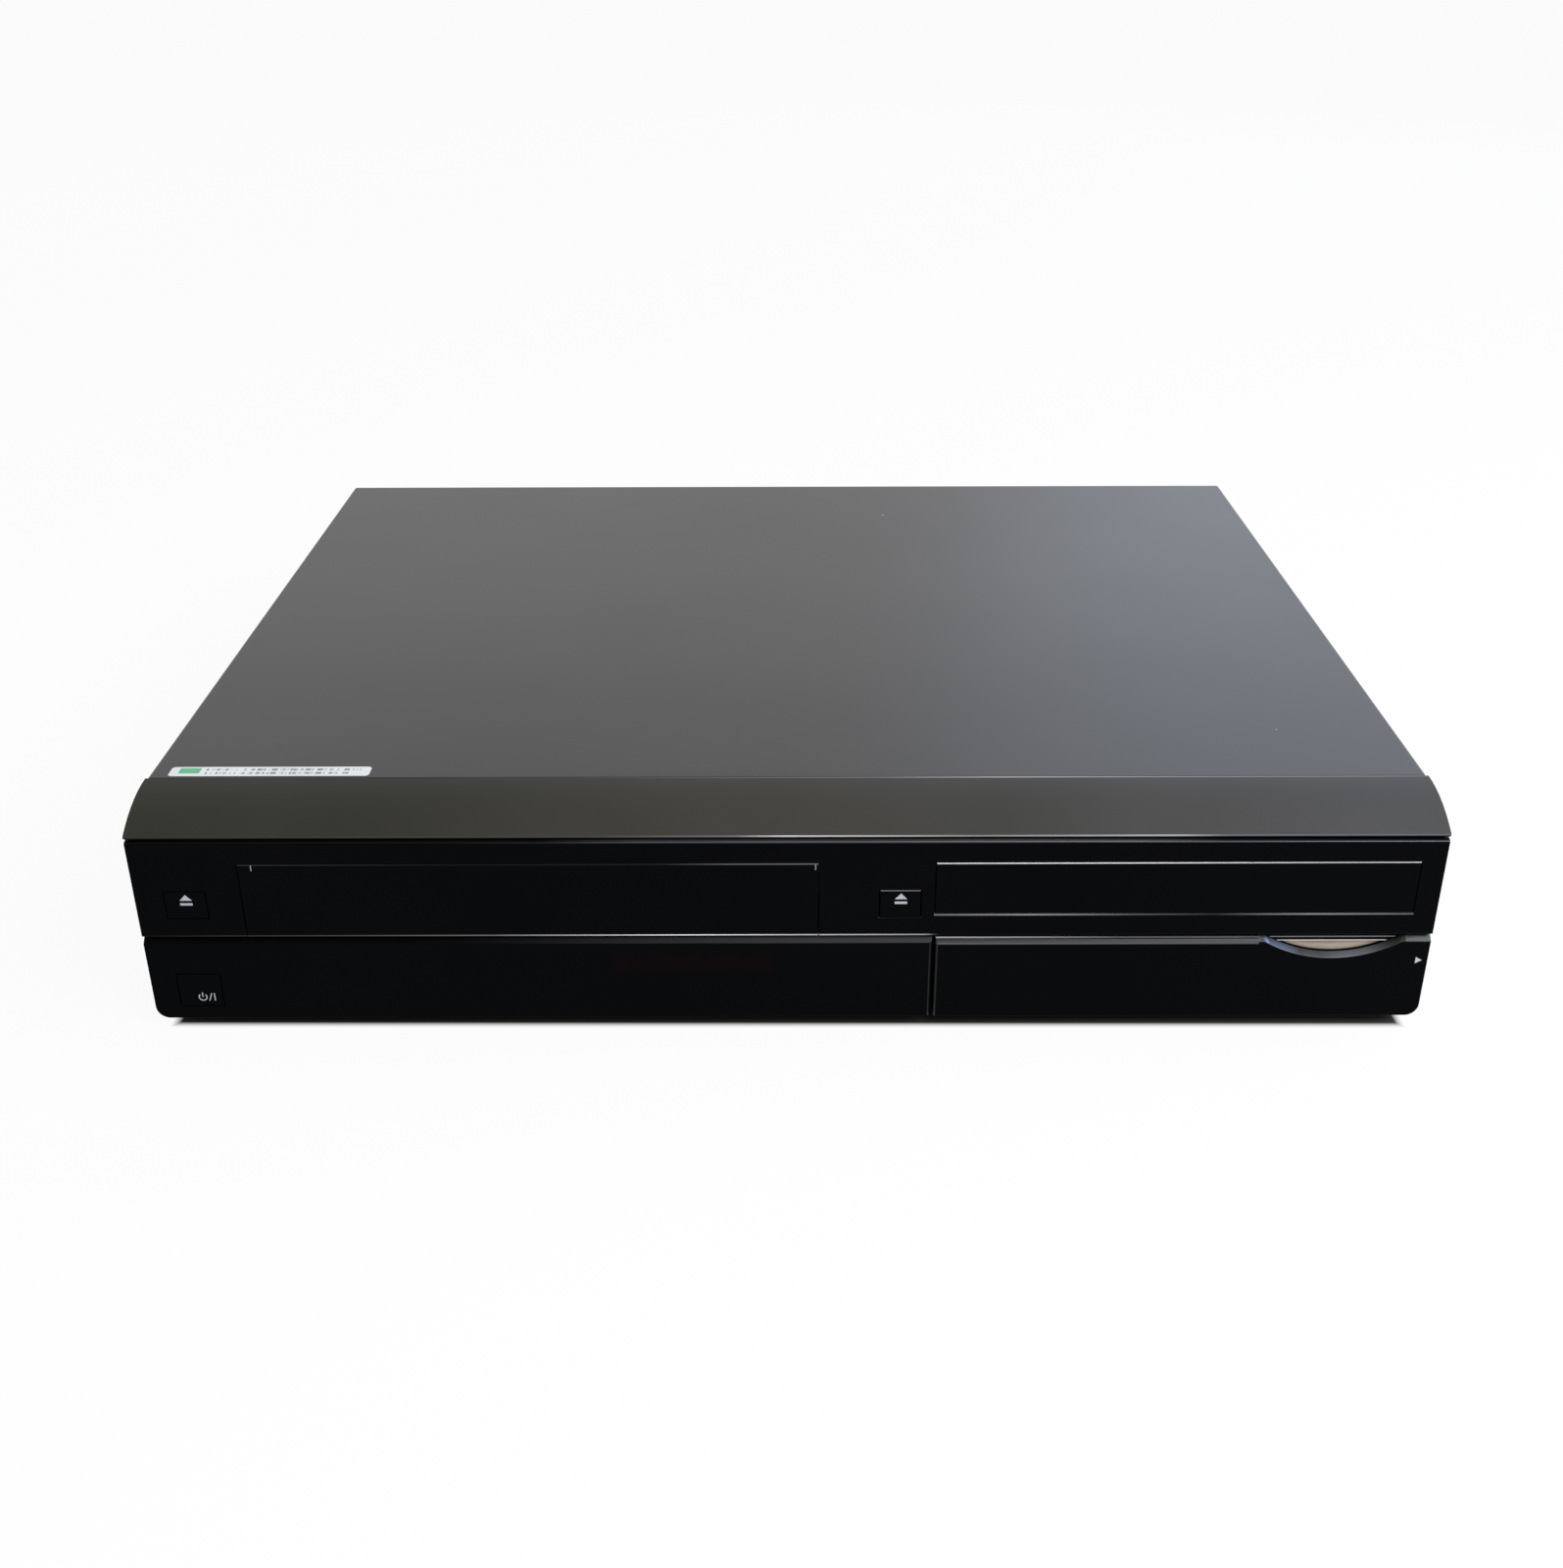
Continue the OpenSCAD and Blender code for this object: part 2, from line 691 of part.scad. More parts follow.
module cassette_carriage() {
  fit() {
    zb = cass_z - 4 - holder_drop;
    zt = cass_top + 4;
    color("#8f9396") {
      for (s = [-1, 1]) {
        difference() {
          bx(s > 0 ? flap_x + hw + 3.6 : flap_x - hw - 4.8, s > 0 ? flap_x + hw + 4.8 : flap_x - hw - 3.6,
            32, 92, zb, zt);
          for (d = [42, 82])
            bx(flap_x + s * hw - 8, flap_x + s * hw + 8, d - 2, d + 2, cass_z - holder_drop - 2, cass_z + 2);
        }
        for (d = [50, 88])
          vx(s > 0 ? flap_x + hw + 4.8 : flap_x - gx - 1.4, s > 0 ? flap_x + gx + 1.4 : flap_x - hw - 4.8,
            d, cass_z + 8.6, 1.2);
      }
      bx(flap_x - hw - 4.8, flap_x + hw + 4.8, 56, 78, zt, zt + 1);
    }
  }
}

module cassette_holder() {
  fit() {
    color("#c2c5c7") {
      bx(flap_x - hw - 1, flap_x + hw + 1, 32, 92, cass_top - 1, cass_top);
      for (s = [-1, 1]) {
        bx(s > 0 ? flap_x + hw : flap_x - hw - 1, s > 0 ? flap_x + hw + 1 : flap_x - hw, 32, 92,
          cass_bot - 1, cass_top - 1);
        bx(s > 0 ? flap_x + hw - 10 : flap_x - hw, s > 0 ? flap_x + hw : flap_x - hw + 10, 32, 92,
          cass_bot - 1, cass_bot);
        for (d = [42, 82])
          vx(s > 0 ? flap_x + hw + 1 : flap_x - hw - 5.2, s > 0 ? flap_x + hw + 5.2 : flap_x - hw - 1,
            d, cass_z, 1.6);
      }
    }
  }
}

module cassette_flap() {
  fit() {
    color("#0c0c0e") {
      bx(fx0, fx1, 0, flap_t, up0, flap_top);
      for (p = [[fx0 - 3, fx0 + 1], [fx1 - 1, fx1 + 3]])
        vx(p[0], p[1], hinge_d, hinge_z, 0.8);
      for (x = [fx0, fx1 - 2.4]) {
        vx(x, x + 2.4, hinge_d, hinge_z, 1.3);
        bx(x, x + 2.4, flap_t - 0.4, hinge_d + 0.8, flap_top - 5, hinge_z);
      }
    }
  }
}

module drum_base() {
  fit() {
    color("#c9ccd0") {
      vz(flap_x, drum_d, dkt, dkt + 5, drum_r + 1.4);
      translate([flap_x, yf + drum_d, dkt + 2.4])
        rotate([-drum_tilt, 0, 0]) {
          translate([0, 0, 1.4])
            cylinder(r = drum_r, h = 16);
          cylinder(r = 3, h = 36);
        }
    }
  }
}

module head_drum() {
  fit() {
    color("#dfe2e5")
      translate([flap_x, yf + drum_d, dkt + 2.4])
        rotate([-drum_tilt, 0, 0])
          difference() {
            union() {
              translate([0, 0, 17.8])
                cylinder(r = drum_r, h = 14.5);
              translate([0, 0, 32.3])
                cylinder(r = drum_r - 7, h = 5);
            }
            translate([0, 0, 17])
              cylinder(r = 3.3, h = 22);
          }
  }
}

module erase_head() {
  fit() {
    color("#9fa3a7") {
      bx(flap_x - drum_r - 39, flap_x - drum_r - 29, drum_d - 26, drum_d - 16, dkt, dkt + 8);
      bx(flap_x - drum_r - 38, flap_x - drum_r - 30, drum_d - 25, drum_d - 19, dkt + 8, dkt + 27);
    }
  }
}

module audio_head() {
  fit() {
    color("#9fa3a7") {
      bx(cap_x - 17, cap_x - 10, cap_d + 2, cap_d + 11, dkt, dkt + 6);
      bx(cap_x - 16.5, cap_x - 10.5, cap_d + 3, cap_d + 9, dkt + 6, dkt + 27);
    }
  }
}

module tape_guide(s) {
  x = flap_x + s * load_x;
  difference() {
    union() {
      vz(x, load_d, dkt + 0.3, dkt + 2.3, 4.6);
      vz(x, load_d, dkt + 2.3, dkt + 24, 2);
      vz(x, load_d, dkt + 6, dkt + 20, 3);
      vz(x, load_d, dk - 1.6, dkt + 0.3, 1.9);
    }
    vz(x, load_d, dkt + 20, dkt + 30, 0.8);
  }
}

module supply_guide_carriage() {
  fit() {
    color("#d4d4d0") tape_guide(-1);
  }
}
module takeup_guide_carriage() {
  fit() {
    color("#d4d4d0") tape_guide(1);
  }
}

module capstan() {
  fit() {
    color("#b5b8ba") {
      difference() {
        vz(cap_x, cap_d, fz + 2, fz + 6.5, flywheel_r);
        vz(cap_x, cap_d, fz + 5.3, fz + 7, flywheel_r - 3);
      }
      vz(cap_x, cap_d, fz + 1.2, dkt + 30, 2);
    }
  }
}

module capstan_motor() {
  fit() {
    color("#3c6e46") difference() {
      union() {
        vz(cap_x, cap_d, dk - 1.6, dk, 18);
        vz(cap_x, cap_d, dk, dkt + 9, 5);
      }
      vz(cap_x, cap_d, dk - 3, dkt + 10, 2.4);
    }
    color("#b4652c")
      for (i = [0:5])
        translate([cap_x, yf + cap_d, dk - 2.9])
          rotate([0, 0, i * 60])
            translate([12, 0, 0])
              cylinder(r = 4, h = 1.3);
  }
}

module pinch_arm() {
  fit() {
    color("#a2a5a8")
      difference() {
        union() {
          vz(arm_x, arm_d, dkt + 12.3, dkt + 15.3, 5);
          translate([arm_x, yf + arm_d, dkt + 12.3])
            rotate([0, 0, 187.8])
              translate([0, -4, 0])
                cube([20, 8, 3]);
          translate([arm_x, yf + arm_d, dkt + 12.3])
            rotate([0, 0, 187.8])
              translate([20, 0, 0])
                cylinder(r = 4, h = 3);
          translate([arm_x, yf + arm_d, dkt + 15.3])
            rotate([0, 0, 187.8])
              translate([20, 0, 0])
                cylinder(r = 1.5, h = 14);
        }
        vz(arm_x, arm_d, dkt + 12, dkt + 16, 2.1);
      }
  }
}

module pinch_roller() {
  fit() {
    color("#1c1c1c")
      translate([arm_x, yf + arm_d, dkt + 15.6])
        rotate([0, 0, 187.8])
          translate([20, 0, 0])
            difference() {
              cylinder(r = roller_r, h = 12.6);
              translate([0, 0, -1])
                cylinder(r = 1.8, h = 15);
            }
  }
}

module reel(s) {
  x = flap_x + s * reel_gap / 2;
  difference() {
    union() {
      vz(x, reel_d, dkt + 0.4, dkt + 3, 18);
      vz(x, reel_d, dkt + 3, dkt + 13, spindle_r - 1.6);
      for (i = [0:2])
        translate([x, yf + reel_d, dkt + 3])
          rotate([0, 0, i * 120])
            translate([spindle_r - 2.6, -1, 0])
              cube([2.6, 2, 10]);
    }
    vz(x, reel_d, dkt, dkt + 16, 2.3);
  }
}

module supply_reel() {
  fit() {
    color("#e3e3df") reel(-1);
  }
}
module takeup_reel() {
  fit() {
    color("#e3e3df") reel(1);
  }
}

module drive_case() {
  fit() {
    x0 = tray_x - dw;
    x1 = tray_x + dw;
    color("#b0b4b7") {
      difference() {
        bx(x0, x1, 24, drive_end, dz, dz + 1);
        vz(pin_x, gear_d, dz - 1, dz + 2, 9.2);
        for (d = [60, drive_end - 14], x = [x0 + 5, x1 - 5])
          vz(x, d, dz - 1, dz + 2, 1.4);
      }
      bx(x0, x0 + 1, 24, drive_end, dz + 1, dz + dl);
      bx(x1 - 1, x1, 24, drive_end, dz + 1, dz + dl);
      bx(x0 + 1, x1 - 1, drive_end - 1, drive_end, dz + 1, dz + dl);
      // runners for the tray
      for (p = [[x0 + 1, x0 + 6], [x1 - 6, x1 - 1]]) {
        bx(p[0], p[1], 24, drive_end - 34, tz - 2, tz - 0.3);
        bx(p[0], p[1], 24, drive_end - 34, tz + 8.4, tz + 10);
      }
      // shaft of the drive gear
      vz(gear_x, gear_d, dz + 1, dz + 8.6, 4);
      vz(gear_x, gear_d, dz + 8.6, tz - 0.5, 1.7);
      // brackets for the traverse hinge
      for (s = [-1, 1])
        difference() {
          bx(tray_x + s * 44 - 1.5, tray_x + s * 44 + 1.5, sp_d - 4, sp_d + 4, dz + 1, sp_z + 4);
          vx(tray_x + s * 44 - 3, tray_x + s * 44 + 3, sp_d, sp_z, 1.8);
        }
      for (p = [for (x = [x0 + 3, x1 - 3], d = [29, drive_end - 8]) [x, d]])
        vz(p[0], p[1], fz, dz, 2.6);
    }
  }
}

module drive_lid() {
  fit() {
    zl = dz + dl;
    color("#b9bdc0") {
      difference() {
        bx(tray_x - dw, tray_x + dw, 24, drive_end, zl, zl + 1);
        vz(tray_x, disc_d, zl - 1, zl + 2, 23);
      }
      difference() {
        vz(tray_x, disc_d, tz + 15.5, zl + 1, 24);
        vz(tray_x, disc_d, tz + 16.5, zl + 2, 23);
        vz(tray_x, disc_d, tz + 10, zl, 14);
      }
    }
  }
}

module clamp_puck() {
  fit() {
    color("#26282b") {
      vz(tray_x, disc_d, tz + 16.9, tz + 18.9, 17);
      vz(tray_x, disc_d, tz + 12.6, tz + 16.9, 13.4);
    }
  }
}

module disc_tray() {
  fit() {
    x0 = tray_x - dw + 7;
    x1 = tray_x + dw - 7;
    color("#17181a") {
      difference() {
        bx(x0, x1, 3, tray_end, tz, tz + 8);
        bx(tray_x - 20.5, tray_x + 20.5, disc_d - 18, tray_end + 4, tz - 1, tz + 9);
        vz(tray_x, disc_d, tz + 5.6, tz + 9, disc_r + 0.5);
        vz(tray_x, disc_d, tz + 4.4, tz + 9, 40.5);
      }
      for (p = [[x0 - 5.4, x0], [x1, x1 + 5.4]])
        bx(p[0], p[1], trim_d + 1, tray_end, tz + 0.2, tz + 7.9);
      // rack
      translate([rack_x, yf + gear_d, tz - 2.7])
        linear_extrude(2.7)
          polygon(concat([[-5.4, (rack_n + 1) * pitch + 1], [-5.4, -17.5]],
            [for (i = [-4:rack_n], k = [[-1.4, -1.15], [0, -0.72], [1.05, -0.36], [1.05, 0.36], [0, 0.72], [-1.4, 1.15]])
              [k[0], (i + 0.5) * pitch + k[1]]]));
      bx(rack_x - 5.4, rack_x - 1.4, gear_d - 17.5, gear_d - 8, tz - 2.7, tz);
    }
  }
}

module tray_front() {
  fit() {
    color("#0b0b0d") {
      bx(tx0, tx1, 0, 2.4, tray_bot, tray_top);
      bx(tray_x - dw + 9, tray_x + dw - 9, 2.4, 3, tz + 0.4, tz + 7.6);
    }
  }
}

module traverse_frame() {
  fit() {
    zf = dz + 8.4;
    color("#3b3e42") {
      difference() {
        bx(tray_x - 42, tray_x + 42, disc_d - 21, sp_d + 3, zf, zf + 2);
        bx(tray_x - 31, tray_x + 37, disc_d + 18, sp_d - 12, zf - 1, zf + 3);
        vz(tray_x, disc_d, zf - 1, zf + 3, 15.5);
      }
      // motor plate
      vz(tray_x, disc_d, zf - 1.2, zf, 19);
      vz(tray_x, disc_d, zf, zf + 2.2, 2.6);
      // rods that the sled slides on
      for (x = [tray_x - 27, tray_x + 27])
        vy(x, disc_d + 17, sp_d - 11, zf + 1, 1.5);
      // hinge pins
      vx(tray_x - 46, tray_x + 46, sp_d, sp_z, 1.4);
      bx(tray_x - 40, tray_x + 40, sp_d - 2, sp_d + 2, zf, zf + 2);
      // feed motor and the far bearing of its screw
      vy(tray_x + 33.5, sp_d - 22, sp_d - 12, zf + 1, 3.2);
      bx(tray_x + 31, tray_x + 36, disc_d + 16.6, disc_d + 18, zf, zf + 2);
    }
  }
}

module turntable() {
  fit() {
    zf = dz + 8.4;
    color("#222427") {
      vz(tray_x, disc_d, zf + 2.6, zf + 6.6, 14);
      vz(tray_x, disc_d, zf + 6.6, zf + 14, 5);
      vz(tray_x, disc_d, zf + 14, zf + 15.6, 15);
      vz(tray_x, disc_d, zf + 15.6, zf + 17.7, hub_r);
    }
  }
}

module pickup_sled() {
  fit() {
    zf = dz + 8.4;
    color("#55585c") {
      difference() {
        union() {
          bx(tray_x - 30.4, tray_x + 30.4, disc_d + 20, disc_d + 40, zf - 1.4, zf + 3.4);
          bx(tray_x - 18, tray_x + 18, disc_d + 20, disc_d + 40, zf + 3.4, zf + 8.6);
          vz(tray_x, disc_d + 25, zf + 8.6, zf + 10.4, 4);
        }
        for (x = [tray_x - 27, tray_x + 27])
          vy(x, disc_d + 19, disc_d + 41, zf + 1, 1.8);
        vz(tray_x, disc_d + 25, zf + 9.4, zf + 11, 2.6);
      }
    }
  }
}

module lead_screw() {
  fit() {
    zf = dz + 8.4;
    color("#cfd2d4")
      vy(tray_x + 33.5, disc_d + 18.4, sp_d - 22.3, zf + 1, 1.6);
  }
}

module tray_drive_gear() {
  fit() {
    color("#ececea")
      difference() {
        union() {
          translate([gear_x, yf + gear_d, tz - 2.7])
            wheel(gear_teeth, 2.3, 0);
          vz(gear_x, gear_d, dz + 8.9, tz - 2.7, 4);
        }
        vz(gear_x, gear_d, dz + 8, tz + 1, 2);
      }
  }
}

module tray_motor() {
  fit() {
    color("#c4c7c9")
      difference() {
        union() {
          vz(pin_x, gear_d, dz - 6, dz + 6.5, 9);
          vz(pin_x, gear_d, dz + 1, dz + 1.8, 11.5);
        }
        vz(pin_x, gear_d, dz + 2, dz + 7, 1.4);
      }
  }
}

module tray_motor_pinion() {
  fit() {
    color("#ececea") {
      translate([pin_x, yf + gear_d, tz - 2.7])
        wheel(pin_teeth, 2.3, 180 / pin_teeth);
      vz(pin_x, gear_d, dz + 3, tz - 2.7, 1.1);
    }
  }
}

module hard_disk() {
  fit() {
    color("#aeb2b5") {
      difference() {
        bx(hx0, hx0 + hdd_w, hd0, hd0 + hdd_d, hz + 3, hz + hdd_h);
        vz(hx0 + 50, hd0 + hdd_d / 2, hz + hdd_h - 0.6, hz + hdd_h + 1, 3);
        for (x = [hx0 + 6, hx0 + hdd_w - 6], d = [hd0 + 6, hd0 + hdd_d - 6])
          vz(x, d, hz + hdd_h - 0.8, hz + hdd_h + 1, 2.6);
      }
      for (x = [hx0 + 1, hx0 + hdd_w - 11])
        bx(x, x + 10, hd0, hd0 + hdd_d, hz, hz + 3);
    }
    color("#2c5a36") bx(hx0 + 14, hx0 + hdd_w - 14, hd0 + 4, hd0 + hdd_d - 4, hz + 1.4, hz + 3);
  }
}

module hard_disk_bracket() {
  fit() {
    color("#b9bcbe") {
      difference() {
        bx(hx0 - 3, hx0 + hdd_w + 3, hd0 - 4, hd0 + hdd_d, hz - 1.2, hz);
        bx(hx0 + 20, hx0 + hdd_w - 20, hd0 + 12, hd0 + hdd_d - 12, hz - 3, hz + 1);
      }
      for (s = [0, 1])
        bx(s > 0 ? hx0 + hdd_w - 6 : hx0 + 4.8, s > 0 ? hx0 + hdd_w - 4.8 : hx0 + 6,
          hd0 + 10, hd0 + hdd_d - 10, bt, hz - 1.2);
    }
  }
}

module main_board() {
  fit() {
    color("#1f6b3a") difference() {
      bx(44, 207, 52, rear_in - 18, bz, bt);
      for (p = [for (x = [48, 204], d = [60, rear_in - 24]) [x, d]])
        vz(p[0], p[1], bz - 1, bt + 1, 1.5);
      for (p = [[tray_x - dw + 3, drive_end - 8], [tray_x + dw - 3, drive_end - 8]])
        vz(p[0], p[1], bz - 1, bt + 1, 3.2);
    }
    color("#1b1c1e") {
      bx(88, 116, 120, 148, bt, bt + 2);
      bx(130, 150, 110, 124, bt, bt + 1.2);
      bx(130, 150, 130, 144, bt, bt + 1.2);
      bx(160, 182, 96, 118, bt, bt + 2);
      bx(70, 92, hd0 + 18, hd0 + 40, bt, bt + 2);
      bx(110, 124, hd0 + 28, hd0 + 46, bt, bt + 1.4);
      bx(44, 52, rear_in - 60, rear_in - 44, bt, bt + 8);
    }
    color("#8e9194")
      for (i = [0:6])
        bx(88 + i * 4.4, 89.6 + i * 4.4, 120, 148, bt + 2, bt + 12);
    color("#2b2d55")
      for (p = [[70, 180], [82, 180], [94, 180], [150, 200], [162, 200], [184, 150]])
        vz(p[0], p[1], bt, bt + 11, 4);
  }
}

module power_board() {
  fit() {
    color("#a6813f") difference() {
      bx(-208, -52, rear_in - 78, rear_in - 4, bz, bt);
      for (p = [for (x = [-200, -58], d = [rear_in - 72, rear_in - 10]) [x, d]])
        vz(p[0], p[1], bz - 1, bt + 1, 1.5);
    }
    // transformer
    color("#d0b23c") bx(-130, -98, rear_in - 56, rear_in - 22, bt, bt + 26);
    color("#26282a") bx(-136, -92, rear_in - 50, rear_in - 28, bt + 26, bt + 30);
    // smoothing capacitors
    color("#24304f") {
      vz(-156, rear_in - 44, bt, bt + 36, 13);
      for (p = [[-84, 66], [-72, 66], [-84, 50], [-72, 50], [-70, 32]])
        vz(p[0], rear_in - p[1], bt, bt + 20, 4.6);
    }
    // heat sinks
    color("#a7aaad")
      for (d = [rear_in - 70, rear_in - 16]) {
        bx(-140, -98, d, d + 2, bt, bt + 34);
        for (i = [0:6])
          bx(-139 + i * 6.5, -137.8 + i * 6.5, d + 2, d + 8, bt + 6, bt + 34);
      }
    // mains filter, fuse and output plug
    color("#d8d8d4") bx(-204, -182, rear_in - 58, rear_in - 38, bt, bt + 18);
    color("#c8c8c8") {
      vx(-178, -158, rear_in - 68, bt + 5, 3);
      for (x = [-178, -163])
        bx(x, x + 5, rear_in - 70, rear_in - 66, bt, bt + 3);
    }
    color("#3a3a3a") bx(-64, -56, rear_in - 60, rear_in - 44, bt, bt + 8);
  }
}

module mains_inlet() {
  fit() {
    z = fz + 17;
    color("#18191b") difference() {
      bx(-bw + 16.4, -bw + 37.6, rear_in - 19, bd + 1.4, fz + 9.4, fz + 24.6);
      vy(-bw + 22.8, bd - 12, bd + 4, z, 4.4);
      vy(-bw + 31.2, bd - 12, bd + 4, z, 4.4);
      bx(-bw + 22.8, -bw + 31.2, bd - 12, bd + 4, z - 3, z + 3);
    }
    color("#c8c8c8")
      for (x = [-bw + 22.8, -bw + 31.2])
        vy(x, bd - 12, bd - 1, z, 1.2);
  }
}

module tuner_module() {
  fit() {
    color("#b9bcbe") {
      bx(aerial_x[0] - 8, aerial_x[2] + 4, rear_in - 44, rear_in, fz, fz + 34);
      for (x = aerial_x)
        difference() {
          union() {
            vy(x, rear_in, bd + jack_out, fz + 24, aerial_r);
            vy(x, rear_in + sheet, rear_in + sheet + 1.2, fz + 24, aerial_r + 1.8);
          }
          vy(x, bd - 2, bd + jack_out + 1, fz + 24, 1.4);
        }
    }
  }
}

module rear_av_sockets() {
  fit() {
    color("#1c1d20") bx(row_x[0] - 8, row_x[3] + 8, rear_in - 14, rear_in, bt, bt + 48);
    color("#c9b45a")
      for (x = row_x, z = row_z) {
        phono(x, rear_in, bd + jack_out, z);
        difference() {
          vy(x, rear_in + sheet, rear_in + sheet + 1.2, z, phono_r + 1.3);
          vy(x, rear_in, bd, z, phono_r - 0.5);
        }
      }
  }
}

module rear_digital_sockets() {
  fit() {
    color("#a5a8ab") {
      difference() {
        bx(tray_x + 5, tray_x + 21.4, rear_in - 22, bd + 0.6, bt, bt + 8);
        bx(tray_x + 6, tray_x + 20.4, rear_in - 12, bd + 2, bt + 2.6, bt + 7);
      }
      difference() {
        bx(tray_x + 30.2, tray_x + 40.2, rear_in - 22, bd + 0.6, bt, bt + 11);
        vy(tray_x + 35.2, rear_in - 10, bd + 2, bt + 6, 2.6);
      }
      difference() {
        bx(tray_x + 48, tray_x + 64.4, rear_in - 22, bd + 0.6, bt, bt + 15);
        bx(tray_x + 50.2, tray_x + 62.2, rear_in - 14, bd + 2, bt + 4, bt + 12);
      }
    }
  }
}

module fan_frame() {
  fit() {
    cz = fz + 37;
    color("#1c1d20") {
      difference() {
        bx(fan_x - 25, fan_x + 25, rear_in - 15, rear_in, cz - 25, cz + 25);
        vy(fan_x, rear_in - 16, rear_in + 1, cz, 23);
      }
      vy(fan_x, rear_in - 2, rear_in, cz, 9);
      vy(fan_x, rear_in - 9, rear_in - 2, cz, 2);
      for (a = [0:3])
        translate([fan_x, yf + rear_in - 1, cz])
          rotate([0, a * 90 + 45, 0])
            translate([8, -1, -1.5])
              cube([15.6, 2, 3]);
      for (x = [fan_x - 23, fan_x + 22])
        bx(x, x + 1.6, rear_in - 14, rear_in - 1, fz, cz - 25);
    }
  }
}

module fan_rotor() {
  fit() {
    cz = fz + 37;
    color("#2a2b2e")
      difference() {
        union() {
          vy(fan_x, rear_in - 13, rear_in - 2.6, cz, 10);
          for (a = [0:6])
            translate([fan_x, yf + rear_in - 7.8, cz])
              rotate([0, a * 360 / 7, 0])
                rotate([32, 0, 0])
                  translate([8, -0.7, -5])
                    cube([14, 1.4, 10]);
        }
        vy(fan_x, rear_in - 10, rear_in - 1, cz, 2.4);
      }
  }
}

module ribbon_cables() {
  fit() {
    color("#dcdcd8") {
      bx(110, 134, drive_end, drive_end + 0.6, bt, bz + 28);
      bx(64, 84, fb + 1.6, fb + 2.2, bt, bt + 12);
      bx(64, 84, fb + 2.2, 62, bt, bt + 0.6);
      bx(flap_x + 96, 46, 70, 90, dkt, dkt + 0.6);
      bx(45.4, 46, 70, 90, bt, dkt);
      bx(136, 156, drive_end + 0.6, hd0 - 4, bt, bt + 0.6);
      bx(136, 156, hd0 - 4.6, hd0 - 4, bt, hz - 1.2);
    }
    color("#c9a227")
      for (i = [0:3])
        vx(-56, 44, rear_in - 57 + i * 3.4, bt + 4, 1.2);
  }
}

base_chassis();
rear_panel();
top_cover();
front_bezel();
sloped_trim();
display_panel();
front_door();
feet();
screws();
front_board();
display_tube();
front_av_sockets();
front_digital_sockets();
power_button();
tape_eject_button();
disc_open_button();
rec_key();
stop_key();
channel_down_key();
channel_up_key();
deck_plate();
cassette_guide_frame();
cassette_carriage();
cassette_holder();
cassette_flap();
drum_base();
head_drum();
erase_head();
audio_head();
supply_guide_carriage();
takeup_guide_carriage();
capstan();
capstan_motor();
pinch_arm();
pinch_roller();
supply_reel();
takeup_reel();
drive_case();
drive_lid();
clamp_puck();
disc_tray();
tray_front();
traverse_frame();
turntable();
pickup_sled();
lead_screw();
tray_drive_gear();
tray_motor();
tray_motor_pinion();
hard_disk();
hard_disk_bracket();
main_board();
power_board();
mains_inlet();
tuner_module();
rear_av_sockets();
rear_digital_sockets();
fan_frame();
fan_rotor();
ribbon_cables();
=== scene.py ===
"""Home recorder with a disc drive, a hard disk and a video cassette deck.

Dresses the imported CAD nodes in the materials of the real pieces, rounds the edges of the outer shells as moulds
and presses leave them, and adds what is printed, stuck or screwed on: marks, a label, feet, screw heads, socket
rings and small parts of the mechanisms.
"""

import logging
import math
from collections.abc import Callable
from dataclasses import dataclass
from enum import Enum
from functools import cached_property, reduce

import bmesh
import bpy
from mathutils import Matrix, Vector


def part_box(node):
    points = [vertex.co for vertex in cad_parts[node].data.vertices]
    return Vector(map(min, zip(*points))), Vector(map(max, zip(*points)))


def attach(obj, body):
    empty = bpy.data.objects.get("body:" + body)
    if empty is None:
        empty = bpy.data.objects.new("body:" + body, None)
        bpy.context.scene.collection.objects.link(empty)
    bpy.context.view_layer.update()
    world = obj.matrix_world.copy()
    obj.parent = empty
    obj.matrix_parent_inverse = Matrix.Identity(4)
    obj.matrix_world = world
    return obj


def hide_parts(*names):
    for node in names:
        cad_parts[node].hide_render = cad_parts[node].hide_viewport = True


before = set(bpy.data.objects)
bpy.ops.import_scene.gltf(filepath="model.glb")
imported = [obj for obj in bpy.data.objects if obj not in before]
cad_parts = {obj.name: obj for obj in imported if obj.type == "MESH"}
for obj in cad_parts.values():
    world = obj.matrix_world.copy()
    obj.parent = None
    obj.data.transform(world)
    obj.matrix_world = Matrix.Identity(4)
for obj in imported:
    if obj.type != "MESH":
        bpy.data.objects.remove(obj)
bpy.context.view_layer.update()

MM = 0.001
LOG = logging.getLogger("recorder")
Obj = bpy.types.Object
Signal = bpy.types.Node | bpy.types.NodeSocket
Point = tuple[float, float, float] | Vector
Pair = tuple[float, float]
Stops = tuple[tuple[float, str], ...]


# ---------------------------------------------------------------- shader helpers


def linear(code: str) -> tuple[float, float, float, float]:
    """Turns an sRGB hex colour to linear light.

    Args:
        code: a colour such as "#31302e".

    Returns:
        Red, green, blue and an alpha of 1.
    """
    parts = [int(code[i : i + 2], 16) / 255 for i in (1, 3, 5)]
    light = [c / 12.92 if c <= 0.04045 else ((c + 0.055) / 1.055) ** 2.4 for c in parts]
    return light[0], light[1], light[2], 1.0


